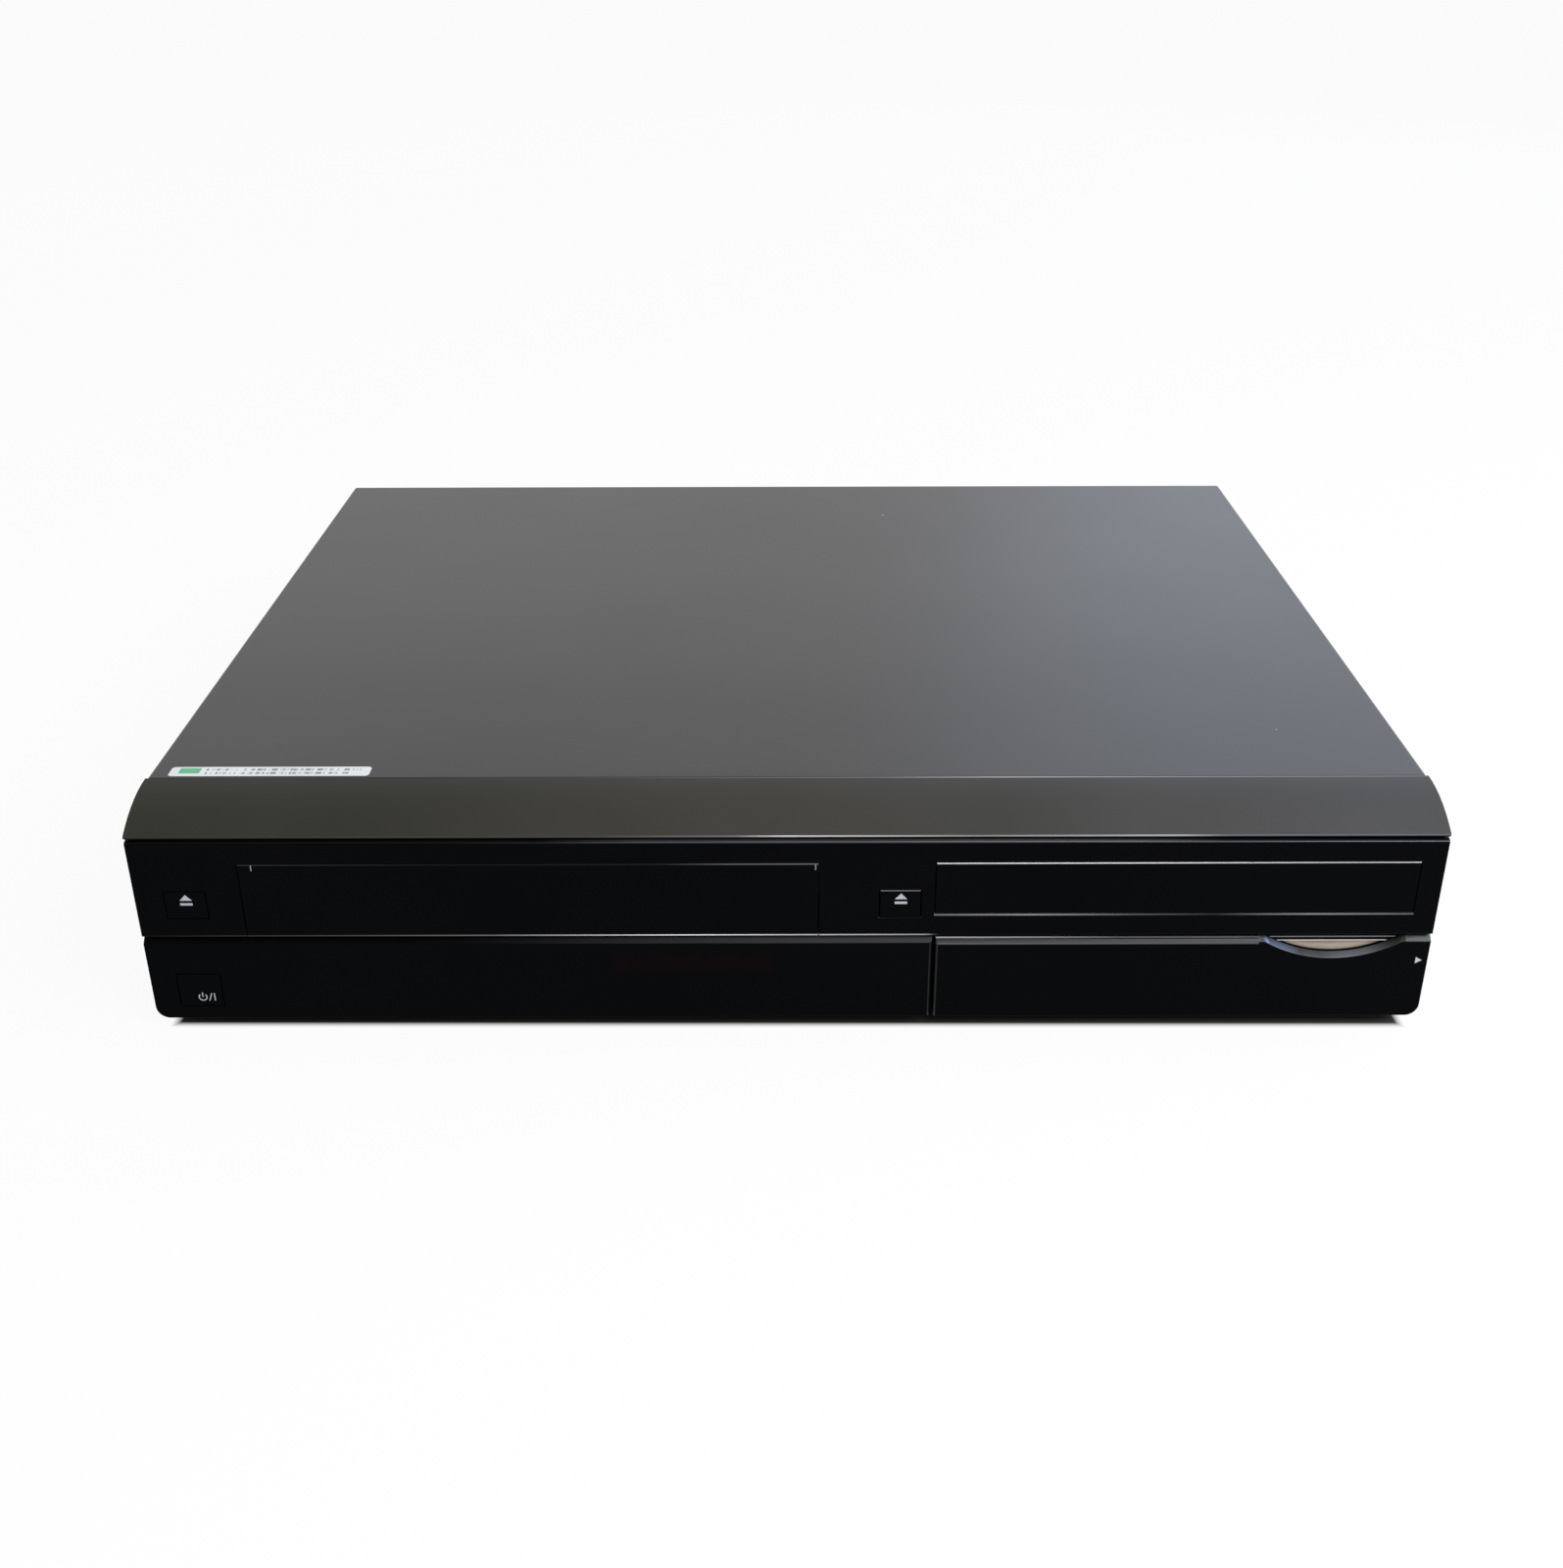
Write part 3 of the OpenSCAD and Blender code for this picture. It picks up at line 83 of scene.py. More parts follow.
class Graph:
    """The node tree of a material or a world, emptied, and the coordinates that its patterns read.

    Attributes:
        tree: the node tree.
        drift: slow noise from 0 to 1, set by the finish.
    """

    def __init__(self, owner: bpy.types.Material | bpy.types.World) -> None:
        """Empties the owner's node tree.

        Args:
            owner: the material or the world.
        """
        owner.use_nodes = True
        self.tree = owner.node_tree
        self.tree.nodes.clear()
        self.drift: Signal | None = None

    def add(self, kind: str, inputs: dict[int | str, object] | None = None, **settings: object) -> bpy.types.Node:
        """Adds one node with its settings and links.

        Args:
            kind: the node's type, without the leading ShaderNode. A Mix mixes colours.
            inputs: for each socket's name or number a value, a colour code, an output or a node, which stands for
                its first output or, where it is a Mix, for its colour.
            settings: properties of the node itself.

        Returns:
            The new node.
        """
        node = self.tree.nodes.new("ShaderNode" + kind)
        if kind == "Mix":
            node.data_type = "RGBA"
        for name, value in settings.items():
            setattr(node, name, value)
        for socket, value in (inputs or {}).items():
            if isinstance(value, bpy.types.Node):
                value = value.outputs[2 if value.bl_idname == "ShaderNodeMix" else 0]
            if isinstance(value, bpy.types.NodeSocket):
                self.tree.links.new(value, node.inputs[socket])
            else:
                node.inputs[socket].default_value = linear(value) if isinstance(value, str) else value
        return node

    @cached_property
    def place(self) -> bpy.types.NodeSocket:
        """The Object coordinates, in metres."""
        return self.add("TexCoord").outputs["Object"]

    @cached_property
    def axes(self) -> bpy.types.NodeOutputs:
        """The three parts of the Object coordinates."""
        return self.add("SeparateXYZ", {0: self.place}).outputs

    @cached_property
    def facing(self) -> bpy.types.NodeOutputs:
        """The three parts of the surface's normal."""
        return self.add("SeparateXYZ", {0: self.add("TexCoord").outputs["Normal"]}).outputs

    def within(self, *sides: tuple[int, float, float]) -> Signal:
        """Masks a box.

        Args:
            sides: an axis with where the box starts and ends along it, in metres, one for each axis that counts.

        Returns:
            1 inside and 0 outside.
        """
        masks = []
        for axis, start, end in sides:
            limits = {0: self.axes[axis], 1: (start + end) / 2, 2: (end - start) / 2}
            masks.append(self.add("Math", limits, operation="COMPARE"))
        return reduce(lambda one, other: self.add("Math", {0: one, 1: other}, operation="MULTIPLY"), masks)

    def ramp(self, axis: int, stops: Stops) -> Signal:
        """Colours the object along an axis.

        Args:
            axis: 0, 1 or 2.
            stops: pairs of millimetres and sRGB colour, in rising order.

        Returns:
            The colour.
        """
        first, last = stops[0][0] * MM, stops[-1][0] * MM
        tones = self.add("ValToRGB", {0: self.add("MapRange", {0: self.axes[axis], 1: first, 2: last})})
        steps = tones.color_ramp.elements
        while len(steps) < len(stops):
            steps.new(0.5)
        for step, (spot, code) in zip(steps, stops):
            step.position = (spot * MM - first) / (last - first)
            step.color = linear(code)
        return tones


class Grain(Enum):
    """How a surface was made, which sets the pattern of its bump."""

    POLISHED = "polished"
    HAIRLINE = "hairline, run along the width"
    ORANGE_PEEL = "sprayed and baked"
    SPARK = "moulded in a spark-eroded mould"
    SPANGLE = "zinc crystals"
    TURNED = "turned on a lathe, rings across the height"


@dataclass(frozen=True)
class PaintedLine:
    """A thin line along X, painted: a highlight on a lip or an edge, or shade in a narrow gap, finer than the mesh
    shows it.

    Attributes:
        axis: 1 for a line at a depth, 2 for one at a height.
        base: a plane of the object along that axis, in metres.
        start: where the line starts, in millimetres from that plane.
        end: where it ends.
        stops: pairs of X in millimetres and sRGB colour, from the line's left end to its right end.
    """

    axis: int
    base: float
    start: float
    end: float
    stops: Stops


@dataclass(frozen=True)
class Finish:
    """A material and how its surface was made.

    Attributes:
        name: the real material and process.
        colour: main colour, sRGB hex.
        shade: colour that blotches of a few centimetres drift towards.
        roughness: roughness of the Principled shader.
        metallic: 1 for a bare metal.
        specular: specular level, for what isn't a metal.
        grain: the pattern of the bump.
        grain_mm: real spacing of the grain.
        depth_um: real depth of the grain.
        blotch_mm: size of the drift in colour and gloss.
        dust: share of the dust cells that hold a speck.
        spread: how far the roughness drifts to either side.
        fades: for each axis, stops that multiply the colour along it, as painted shading.
        lines: thin lines along X, of painted highlight or painted shade.
    """

    name: str
    colour: str
    shade: str
    roughness: float
    metallic: float = 0.0
    specular: float = 0.5
    grain: Grain = Grain.POLISHED
    grain_mm: float = 1.0
    depth_um: float = 0.0
    blotch_mm: float = 60.0
    dust: float = 0.0
    spread: float = 0.04
    fades: tuple[tuple[int, Stops], ...] = ()
    lines: tuple[PaintedLine, ...] = ()

    def height(self, graph: Graph) -> Signal:
        """Builds the grain's height.

        Args:
            graph: the material's graph.

        Returns:
            A height from 0 to 1.
        """
        stretches = {Grain.HAIRLINE: (0.012, 1.0, 1.0), Grain.TURNED: (0.02, 0.02, 1.0)}
        scale = [s * 1000.0 / self.grain_mm for s in stretches.get(self.grain, (1.0, 1.0, 1.0))]
        moved = {"Vector": graph.add("Mapping", {0: graph.place, "Scale": scale}), "Scale": 1.0}
        if self.grain is Grain.SPANGLE:
            cells = graph.add("TexVoronoi", moved, feature="F1")
            return graph.add("SeparateColor", {0: cells.outputs["Color"]})
        return graph.add("TexNoise", moved | {"Detail": 2.0})

    def specks(self, graph: Graph) -> Signal:
        """Builds the mask of the dust: one small speck in some of the cells of 9 mm.

        Args:
            graph: the material's graph.

        Returns:
            1 on a speck and 0 elsewhere.
        """
        cells = graph.add("TexVoronoi", {"Vector": graph.place, "Scale": 110.0}, feature="F1")
        chance = graph.add("SeparateColor", {0: cells.outputs["Color"]}).outputs
        chosen = graph.add("Math", {0: chance[0], 1: self.dust}, operation="LESS_THAN")
        size = graph.add("Math", {0: chance[1], 1: 0.07}, operation="MULTIPLY")
        near = graph.add("Math", {0: cells.outputs["Distance"], 1: size}, operation="LESS_THAN")
        return graph.add("Math", {0: chosen, 1: near}, operation="MULTIPLY")

    def tint(self, graph: Graph) -> Signal:
        """Mixes the two base colours by the slow drift."""
        return graph.add("Mix", {0: graph.drift, 6: self.colour, 7: self.shade})

    def gloss(self, graph: Graph) -> dict[str, Signal | float]:
        """Gives the sockets other than the colour and the normal.

        Args:
            graph: the material's graph.

        Returns:
            Values or nodes for the Principled shader's sockets.
        """
        low, high = max(0.02, self.roughness - self.spread), min(1.0, self.roughness + self.spread)
        rough = graph.add("MapRange", {0: graph.drift, 3: low, 4: high})
        return {"Roughness": rough, "Metallic": self.metallic, "Specular IOR Level": self.specular}

    def lined(self, graph: Graph, colour: Signal) -> Signal:
        """Multiplies the fades, a painted shading, into the colour and draws the thin lines of painted highlight and
        shade over it.

        Args:
            graph: the material's graph.
            colour: the colour that they are drawn on.

        Returns:
            The colour.
        """
        for axis, stops in self.fades:
            colour = graph.add("Mix", {0: 1.0, 6: colour, 7: graph.ramp(axis, stops)}, blend_type="MULTIPLY")
        for line in self.lines:
            length = (0, line.stops[0][0] * MM, line.stops[-1][0] * MM)
            width = (line.axis, line.base + line.start * MM, line.base + line.end * MM)
            colour = graph.add("Mix", {0: graph.within(length, width), 6: colour, 7: graph.ramp(0, line.stops)})
        return colour

    def material(self) -> bpy.types.Material:
        """Builds the material once, and gives the same one after that.

        Returns:
            The material.
        """
        known = bpy.data.materials.get(self.name)
        if known:
            return known
        made = bpy.data.materials.new(self.name)
        graph = Graph(made)
        noise = graph.add("TexNoise", {"Vector": graph.place, "Scale": 1000 / self.blotch_mm, "Detail": 3.0})
        graph.drift = graph.add("MapRange", {0: noise, 1: 0.35, 2: 0.65})
        colour = self.lined(graph, self.tint(graph))
        sockets = self.gloss(graph)
        if self.dust > 0:
            colour = graph.add("Mix", {0: self.specks(graph), 6: colour, 7: "#b4b2ac"})
        if self.depth_um > 0:
            bump = {"Height": self.height(graph), "Strength": 1.0, "Distance": self.depth_um * 1e-6}
            sockets["Normal"] = graph.add("Bump", bump)
        shader = graph.add("BsdfPrincipled", {"Base Color": colour, **sockets})
        graph.add("OutputMaterial", {0: shader})
        return made

    def put_on(self, obj: Obj) -> None:
        """Gives an object this finish all over."""
        obj.data.materials.clear()
        obj.data.materials.append(self.material())


@dataclass(frozen=True)
class Metal(Finish):
    """A bare or plated metal."""

    metallic: float = 1.0


@dataclass(frozen=True)
class Moulded(Finish):
    """Plastic or rubber from a spark-eroded mould, which leaves a fine even grain."""

    grain: Grain = Grain.SPARK
    grain_mm: float = 0.5
    depth_um: float = 5.0


@dataclass(frozen=True)
class GlossPanel(Finish):
    """Piano-black moulding: faces that stay black, and polished edges with a painted reflection that changes from the
    left to the right.

    Attributes:
        edge: painted reflection on edges that tilt up, at the right.
        edge_dim: the same at the left.
        under: painted reflection on edges that tilt down, at the right.
        under_dim: the same at the left.
        sides: how much of the painted reflection the upright edges get.
        edge_gloss: roughness of the edges.
        window: how strongly the display's painted glow, a patchy dark red, shows through.
        window_box: for X and Z, the glow's middle and half its size, in metres.
        reach: X in metres where the edges are as at the left, and as at the right.
    """

    colour: str = "#06070a"
    shade: str = "#07080a"
    roughness: float = 0.07
    specular: float = 0.015
    dust: float = 0.012
    edge: str = "#3a3d41"
    edge_dim: str = "#09090a"
    under: str = "#3c3e42"
    under_dim: str = "#101112"
    sides: float = 0.0
    edge_gloss: float = 0.32
    window: float = 0.0
    window_box: tuple[tuple[int, float, float], ...] = ((0, -32 * MM, 27 * MM), (2, 27 * MM, 4 * MM))
    reach: Pair = (-0.13, 0.03)

    def edges(self, graph: Graph) -> Signal:
        """Masks what tilts up or down, and the upright edges as far as sides says.

        Args:
            graph: the material's graph.

        Returns:
            1 on an edge and 0 on a face.
        """
        front = graph.add("MapRange", {0: graph.facing[1], 1: -0.08, 2: -0.25})
        tilt = graph.add("Math", {0: graph.facing[2]}, operation="ABSOLUTE")
        level = graph.add("MapRange", {0: tilt, 1: 0.18, 2: 0.4})
        turn = graph.add("Math", {0: graph.facing[0]}, operation="ABSOLUTE")
        upright = graph.add("MapRange", {0: turn, 1: 0.3, 2: 0.6, 4: self.sides})
        either = graph.add("Math", {0: level, 1: upright}, operation="MAXIMUM")
        return graph.add("Math", {0: either, 1: front}, operation="MULTIPLY")

    def tint(self, graph: Graph) -> Signal:
        """Adds the painted reflection on the edges and the display's painted glow to the black.

        Args:
            graph: the material's graph.

        Returns:
            The colour.
        """
        colour = super().tint(graph)
        # painted glow of the display: a patchy dark red mixed into the black over it
        if self.window > 0:
            cloud = graph.add("TexNoise", {"Vector": graph.place, "Scale": 160.0, "Detail": 3.0})
            mask = graph.add("MapRange", {0: cloud, 1: 0.3, 2: 0.7})
            for axis, middle, half in self.window_box:
                off = graph.add("Math", {0: graph.axes[axis], 1: middle}, operation="SUBTRACT")
                away = graph.add("Math", {0: off}, operation="ABSOLUTE")
                soft = {0: away, 1: half + 1.5 * MM, 2: half - 1.5 * MM}
                inside = graph.add("MapRange", soft, interpolation_type="SMOOTHSTEP")
                mask = graph.add("Math", {0: mask, 1: inside}, operation="MULTIPLY")
            share = graph.add("Math", {0: mask, 1: self.window}, operation="MULTIPLY")
            colour = graph.add("Mix", {0: share, 6: colour, 7: "#2a0b08"})
        # painted reflection on the edges: one tone at the left and one at the right, each in a copy for edges that
        # tilt up and one for edges that tilt down
        limits = {0: graph.axes[0], 1: self.reach[0], 2: self.reach[1]}
        along = graph.add("MapRange", limits, interpolation_type="SMOOTHSTEP")
        up = graph.add("Mix", {0: along, 6: self.edge_dim, 7: self.edge})
        down = graph.add("Mix", {0: along, 6: self.under_dim, 7: self.under})
        sky = graph.add("Math", {0: graph.facing[2], 1: -0.05}, operation="GREATER_THAN")
        lit = graph.add("Mix", {0: sky, 6: down, 7: up})
        return graph.add("Mix", {0: self.edges(graph), 6: colour, 7: lit})

    def gloss(self, graph: Graph) -> dict[str, Signal | float]:
        """Makes the edges mirror-like and keeps the faces' low reflectance.

        Args:
            graph: the material's graph.

        Returns:
            Values or nodes for the Principled shader's sockets.
        """
        mask = self.edges(graph)
        rough = graph.add("MapRange", {0: mask, 3: self.roughness, 4: self.edge_gloss})
        return super().gloss(graph) | {"Metallic": mask, "Roughness": rough}


@dataclass(frozen=True)
class CircuitBoard(Finish):
    """Laminate with copper tracks under lacquer, and dark moulded components standing on it.

    Attributes:
        track: colour of the lacquer where copper lies under it.
        parts: colour of the components.
        top_mm: height of the board's upper face.
    """

    colour: str = "#1d5c36"
    shade: str = "#184e2e"
    roughness: float = 0.38
    track: str = "#2f7d4c"
    parts: str = "#232427"
    top_mm: float = 13.7

    def tint(self, graph: Graph) -> Signal:
        """Draws tracks of about 0.8 mm on the laminate, and the components above it.

        Args:
            graph: the material's graph.

        Returns:
            The colour.
        """
        colours = {"Color1": self.track, "Color2": self.colour, "Mortar": self.shade}
        sizes = {"Scale": 1.0, "Mortar Size": 0.8 * MM, "Brick Width": 11 * MM, "Row Height": 2.6 * MM}
        tracks = graph.add("TexBrick", {"Vector": graph.place, **colours, **sizes})
        board = graph.add("Mix", {0: 0.6, 6: super().tint(graph), 7: tracks})
        above = graph.add("Math", {0: graph.axes[2], 1: self.top_mm * MM}, operation="GREATER_THAN")
        return graph.add("Mix", {0: above, 6: board, 7: self.parts})


@dataclass(frozen=True)
class PrintedLabel(Finish):
    """Coated paper with a pale green block at the left and two rows of plain grey bars.

    Attributes:
        corner: X and Y of the label's left front corner, in metres.
        size: its width and depth, in metres.
    """

    corner: Pair = (0.0, 0.0)
    size: Pair = (0.068, 0.0068)

    def zone(self, graph: Graph, across: Pair, along: Pair) -> Signal:
        """Masks a block of the label.

        Args:
            graph: the material's graph.
            across: where it starts and ends, in shares of the label's width.
            along: the same in shares of its depth.

        Returns:
            1 on the block and 0 elsewhere.
        """
        sides = []
        for axis, (start, end) in enumerate((across, along)):
            corner, size = self.corner[axis], self.size[axis]
            sides.append((axis, corner + size * start, corner + size * end))
        return graph.within(*sides)

    def tint(self, graph: Graph) -> Signal:
        """Prints the block and the bars by their place on the label.

        Args:
            graph: the material's graph.

        Returns:
            The colour.
        """
        block = self.zone(graph, (0.045, 0.15), (0.28, 0.86))
        colour = graph.add("Mix", {0: block, 6: super().tint(graph), 7: "#57b38a"})
        # the bars are broken into dashes of 1 to 2 mm, as small print looks at arm's length
        moved = graph.add("Mapping", {0: graph.place, "Scale": (900.0, 60.0, 60.0)})
        dashes = graph.add("TexNoise", {"Vector": moved, "Scale": 1.0, "Detail": 3.0})
        ink = graph.add("MapRange", {0: dashes, 1: 0.44, 2: 0.56})
        for end, along in ((0.95, (0.58, 0.8)), (0.9, (0.2, 0.42))):
            row = graph.add("Math", {0: self.zone(graph, (0.17, end), along), 1: ink}, operation="MULTIPLY")
            colour = graph.add("Mix", {0: row, 6: colour, 7: "#7d8287"})
        return colour


@dataclass(frozen=True)
class SmokedGlass(Finish):
    """Dark glass of the display tube: light passes a little, and the surface stays glossy."""

    def gloss(self, graph: Graph) -> dict[str, Signal | float]:
        """Adds transmission to the plain gloss."""
        return super().gloss(graph) | {"Transmission Weight": 0.35, "IOR": 1.52}


# ---------------------------------------------------------------- thin lines and finishes


FRONT_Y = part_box("front_bezel")[0][1]
SEAM_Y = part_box("sloped_trim")[1][1]
STRIP_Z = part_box("top_cover")[1][2] - 8.7 * MM
LIP_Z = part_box("cassette_flap")[0][2]
TRAY_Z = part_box("tray_front")[0][2]
# painted highlight along the lower edge of the tray's opening, whose top is turned to the light
SILL_STOPS = (
    (48.7, "#6c6d72"), (80, "#8c8d92"), (115, "#515257"), (142, "#2c2d30"), (174, "#808288"), (207.3, "#5c5e64"),
)
SILL_LINE = PaintedLine(2, TRAY_Z, -0.85, -0.25, SILL_STOPS)
# painted highlight along the lower lip of the upper panel and the flap, brightest towards the middle
LIP_STOPS = (
    (-215, "#101011"), (-145, "#4a4b4e"), (-98, "#727377"), (-33, "#e4e5e9"),
    (-1, "#c2c3c8"), (46, "#9c9da2"), (49.2, "#0e0f10"), (215, "#0e0f10"),
)
LIP_LINE = PaintedLine(2, LIP_Z, -0.4, 0.5, LIP_STOPS)
# painted highlight along the top edge of the upper panel, under the strip
TOP_STOPS = (
    (-215, "#131415"), (-80, "#1d1f21"), (-48, "#4e5155"), (62, "#626468"),
    (110, "#54565a"), (142, "#222427"), (215, "#131416"),
)
TOP_LINE = PaintedLine(2, STRIP_Z, -1.6, -0.85, TOP_STOPS)
# painted highlight along the top edge of the flap: dim, with a painted glint at its right end
FLAP_STOPS = ((-179.6, "#2c2d2f"), (-112, "#1b1c1d"), (-40, "#222326"), (-17, "#5c5d62"), (10.4, "#646569"))
FLAP_LINE = PaintedLine(2, LIP_Z, 27.05, 27.5, FLAP_STOPS)
# painted reflection on the chamfer round the finger notch, bluish at its left end, and painted shade on the black wall
# inside it
NOTCH_STOPS = (
    (158.5, "#222428"), (162, "#56627a"), (166.5, "#4a5262"), (172, "#303237"), (179, "#383a3f"),
    (188, "#5c5e63"), (194, "#5e6065"), (201, "#3a3b3a"), (206.5, "#181816"),
)
NOTCH_LINES = (
    PaintedLine(1, FRONT_Y, 0.1, 2.05, NOTCH_STOPS),
    PaintedLine(1, FRONT_Y, 2.05, 9.0, ((158.5, "#050607"), (206.5, "#050607"))),
)
# top of the door: painted shade on the lip, a painted highlight on a fine edge, painted shade in the groove under it,
# and a painted reflection on the foot of the chamfer
DOOR_SHADE = ((49.3, "#0a0b0c"), (157.5, "#0a0b0c"))
DOOR_HIGHLIGHT = ((49.3, "#c2c3c8"), (78, "#9c9da2"), (110, "#56585c"), (157.5, "#4c4e53"))
DOOR_LINES = (
    PaintedLine(2, LIP_Z, -1.55, -0.5, DOOR_SHADE),
    PaintedLine(2, LIP_Z, -1.88, -1.52, DOOR_HIGHLIGHT),
    PaintedLine(2, LIP_Z, -2.16, -1.88, DOOR_SHADE),
    PaintedLine(2, LIP_Z, -3.75, -2.98, ((49.3, "#56585d"), (157.5, "#56585d"))),
)
# bar over the pull's recess: a painted highlight along it, and a white painted highlight on its lower edge
BAR_LINES = (
    PaintedLine(2, LIP_Z, -2.45, -2.1, ((150, "#94969c"), (215, "#8c8e94"))),
    PaintedLine(2, LIP_Z, -3.95, -3.55, ((150, "#e6e2de"), (215, "#e6e2de"))),
)
# painted highlight along the rear edge of the trim strip at the seam, brightest over the tray
SEAM_STOPS = (
    (-215, "#2c2c2b"), (-120, "#2e2e2d"), (-60, "#424243"), (30, "#6a6a6e"),
    (72, "#a0a0a4"), (120, "#82848c"), (215, "#686a72"),
)
# front edge of the trim strip: a line of painted shade, and a painted highlight over it
STRIP_STOPS = (
    (-215, "#33332f"), (-65, "#404041"), (-17, "#66676b"), (-1, "#b4b5ba"),
    (62, "#76777b"), (126, "#9c9ea6"), (142, "#5e6068"), (215, "#585a62"),
)
STRIP_LINES = (
    PaintedLine(1, SEAM_Y, -1.0, 0.1, SEAM_STOPS),
    PaintedLine(2, STRIP_Z, 0.0, 0.45, ((-215, "#080808"), (215, "#0a0a0a"))),
    PaintedLine(2, STRIP_Z, 0.45, 1.0, STRIP_STOPS),
)
# painted shadow of the strip on the cover, just behind the seam
SHADE_LINE = PaintedLine(1, SEAM_Y, 0.0, 0.9, ((-215, "#151413"), (-60, "#1d1c1b"), (60, "#262625"), (215, "#222223")))
# painted reflection: the cover's colour darkens towards its front edge, where its reflection fades
COVER_SHEEN_FADE = ((-150, "#bfbcbc"), (-80, "#cecbcb"), (0, "#ececec"), (130, "#ffffff"))
# painted shade: the strip is darker and warmer towards its left end, away from the light at the right
STRIP_SHADE_FADE = ((-207, "#b2b09c"), (0, "#d6d1bf"), (200, "#ffffff"))

# steel sheet, sprayed with polyester and baked: satin, with a soft orange peel under raking light
COVER_PAINT = Finish(
    "satin_polyester_baked_on_steel",
    "#383634",
    "#333130",
    roughness=0.4,
    specular=0.44,
    grain=Grain.ORANGE_PEEL,
    grain_mm=0.9,
    depth_um=9.0,
    blotch_mm=140.0,
    dust=0.02,
    spread=0.006,
    # a painted reflection that fades towards the front, and the strip's painted shadow behind the seam
    fades=((1, COVER_SHEEN_FADE),),
    lines=(SHADE_LINE,),
)
# aluminium strip, brushed lengthwise and dyed black: fine lines that run from end to end
TRIM_STRIP = Finish(
    "brushed_black_anodised_aluminium",
    "#4c4d50",
    "#464749",
    roughness=0.5,
    specular=0.08,
    grain=Grain.HAIRLINE,
    grain_mm=0.35,
    depth_um=5.0,
    blotch_mm=90.0,
    dust=0.02,
    spread=0.01,
    # painted shade towards the left end, and painted lines along both edges
    fades=((0, STRIP_SHADE_FADE),),
    lines=STRIP_LINES,
)
# acrylic-faced ABS, polished in the mould: deep black, so that only its edges show, which carry a painted reflection;
# a patchy dark red over the display is a painted glow
PANEL_GLOSS = GlossPanel(
    "piano_black_acrylic_over_ABS",
    roughness=0.06,
    window=0.16,
    sides=1.0,
    edge="#343639",
    under="#2c2e32",
    edge_gloss=0.4,
    reach=(-0.13, 0.04),
    lines=NOTCH_LINES + DOOR_LINES,
)
# the same without the facing: black glass to the eye, with painted highlights on its lip, sill and top edge, and a
# painted reflection on its edges
BEZEL_GLOSS = GlossPanel("piano_black_moulded_ABS", lines=(LIP_LINE, SILL_LINE, TOP_LINE))
# the same, with its edges barely rounded and their painted reflection kept dark: hardly a line shows round it; painted
# highlights run along its lip and the flap's top
SHARP_GLOSS = GlossPanel(
    "piano_black_ABS_dim_painted_edges",
    edge="#131416",
    edge_dim="#0c0d0e",
    under="#131416",
    under_dim="#0c0d0e",
    lines=(LIP_LINE, FLAP_LINE),
)
# the same, with a broad rounded edge whose painted highlight shows as one bright line
BRIGHT_EDGE_GLOSS = GlossPanel(
    "piano_black_ABS_painted_edge_highlight",
    edge="#74747c",
    edge_dim="#c4c4d0",
    under="#131416",
    under_dim="#131416",
    edge_gloss=0.35,
    reach=(0.06, 0.2),
)
# the same, clean of dust inside the recess: black between two painted highlight lines
PULL_BAR_GLOSS = GlossPanel("piano_black_door_pull_ABS", dust=0.0, edge="#131416", under="#131416", lines=BAR_LINES)
# from a fine-textured mould: dull, warm and a little lighter than sand
PULL_CREAM = Moulded(
    "fine_textured_cream_ABS", "#b3a79b", "#a99d92", roughness=0.55, grain_mm=0.4, depth_um=6.0, blotch_mm=12.0
)
# stiff moulding from a textured mould: dull black with a fine even grain
MATT_BLACK = Moulded("spark_textured_black_ABS", "#17181a", "#1d1e20", roughness=0.62, grain_mm=0.4, depth_um=12.0)
# the same in grey: flat, so that the white marks on the keys stand out
KEY_GREY = Moulded("matt_grey_moulded_ABS", "#4a4c50", "#424448", roughness=0.5, grain_mm=0.4, depth_um=8.0)
# steel sheet with a zinc coat: flat grey crystals a few millimetres across
ZINC_STEEL = Metal(
    "electrogalvanised_steel_sheet",
    "#b8bbbd",
    "#aeb2b4",
    roughness=0.36,
    grain=Grain.SPANGLE,
    grain_mm=3.5,
    depth_um=4.0,
    blotch_mm=25.0,
    spread=0.012,
)
# hot-dipped tin: brighter than zinc, with soft patches
TINPLATE = Metal("bright_tinned_steel", "#c9cbcc", "#b4b7b9", roughness=0.22, blotch_mm=18.0)
# pressure die casting, grey and faintly mottled
DIE_CAST = Metal(
    "die_cast_aluminium", "#b2b5b8", "#9a9ea2", roughness=0.42, grain=Grain.SPARK, grain_mm=0.6, depth_um=8.0
)
# turned on a diamond tool: rings a fraction of a millimetre apart, drawn coarser so that they show
TURNED_METAL = Metal(
    "diamond_turned_aluminium", "#d6d9dc", "#c2c6ca", roughness=0.18, grain=Grain.TURNED, grain_mm=0.5, depth_um=3.0
)
# ground and burnished: near a mirror, cool grey
STEEL_PIN = Metal("ground_stainless_steel", "#c6c8ca", "#b2b5b8", roughness=0.16, blotch_mm=10.0)
# black chromate over zinc: dark metal with a soft sheen
BLACK_SCREW = Metal(
    "black_zinc_plated_screw_steel",
    "#2a2b2d",
    "#1e1f21",
    roughness=0.34,
    grain=Grain.SPARK,
    grain_mm=0.3,
    depth_um=3.0,
)
# a thin gold flash on brass: yellow, evenly bright
GOLD_PLATE = Metal("gold_flashed_brass", "#c9ab62", "#b89a52", roughness=0.24, blotch_mm=8.0)
# nickel on brass: bright, slightly warmer than tin
NICKEL_PLATE = Metal("nickel_plated_brass", "#c4c2bb", "#aeaca6", roughness=0.2, blotch_mm=8.0)
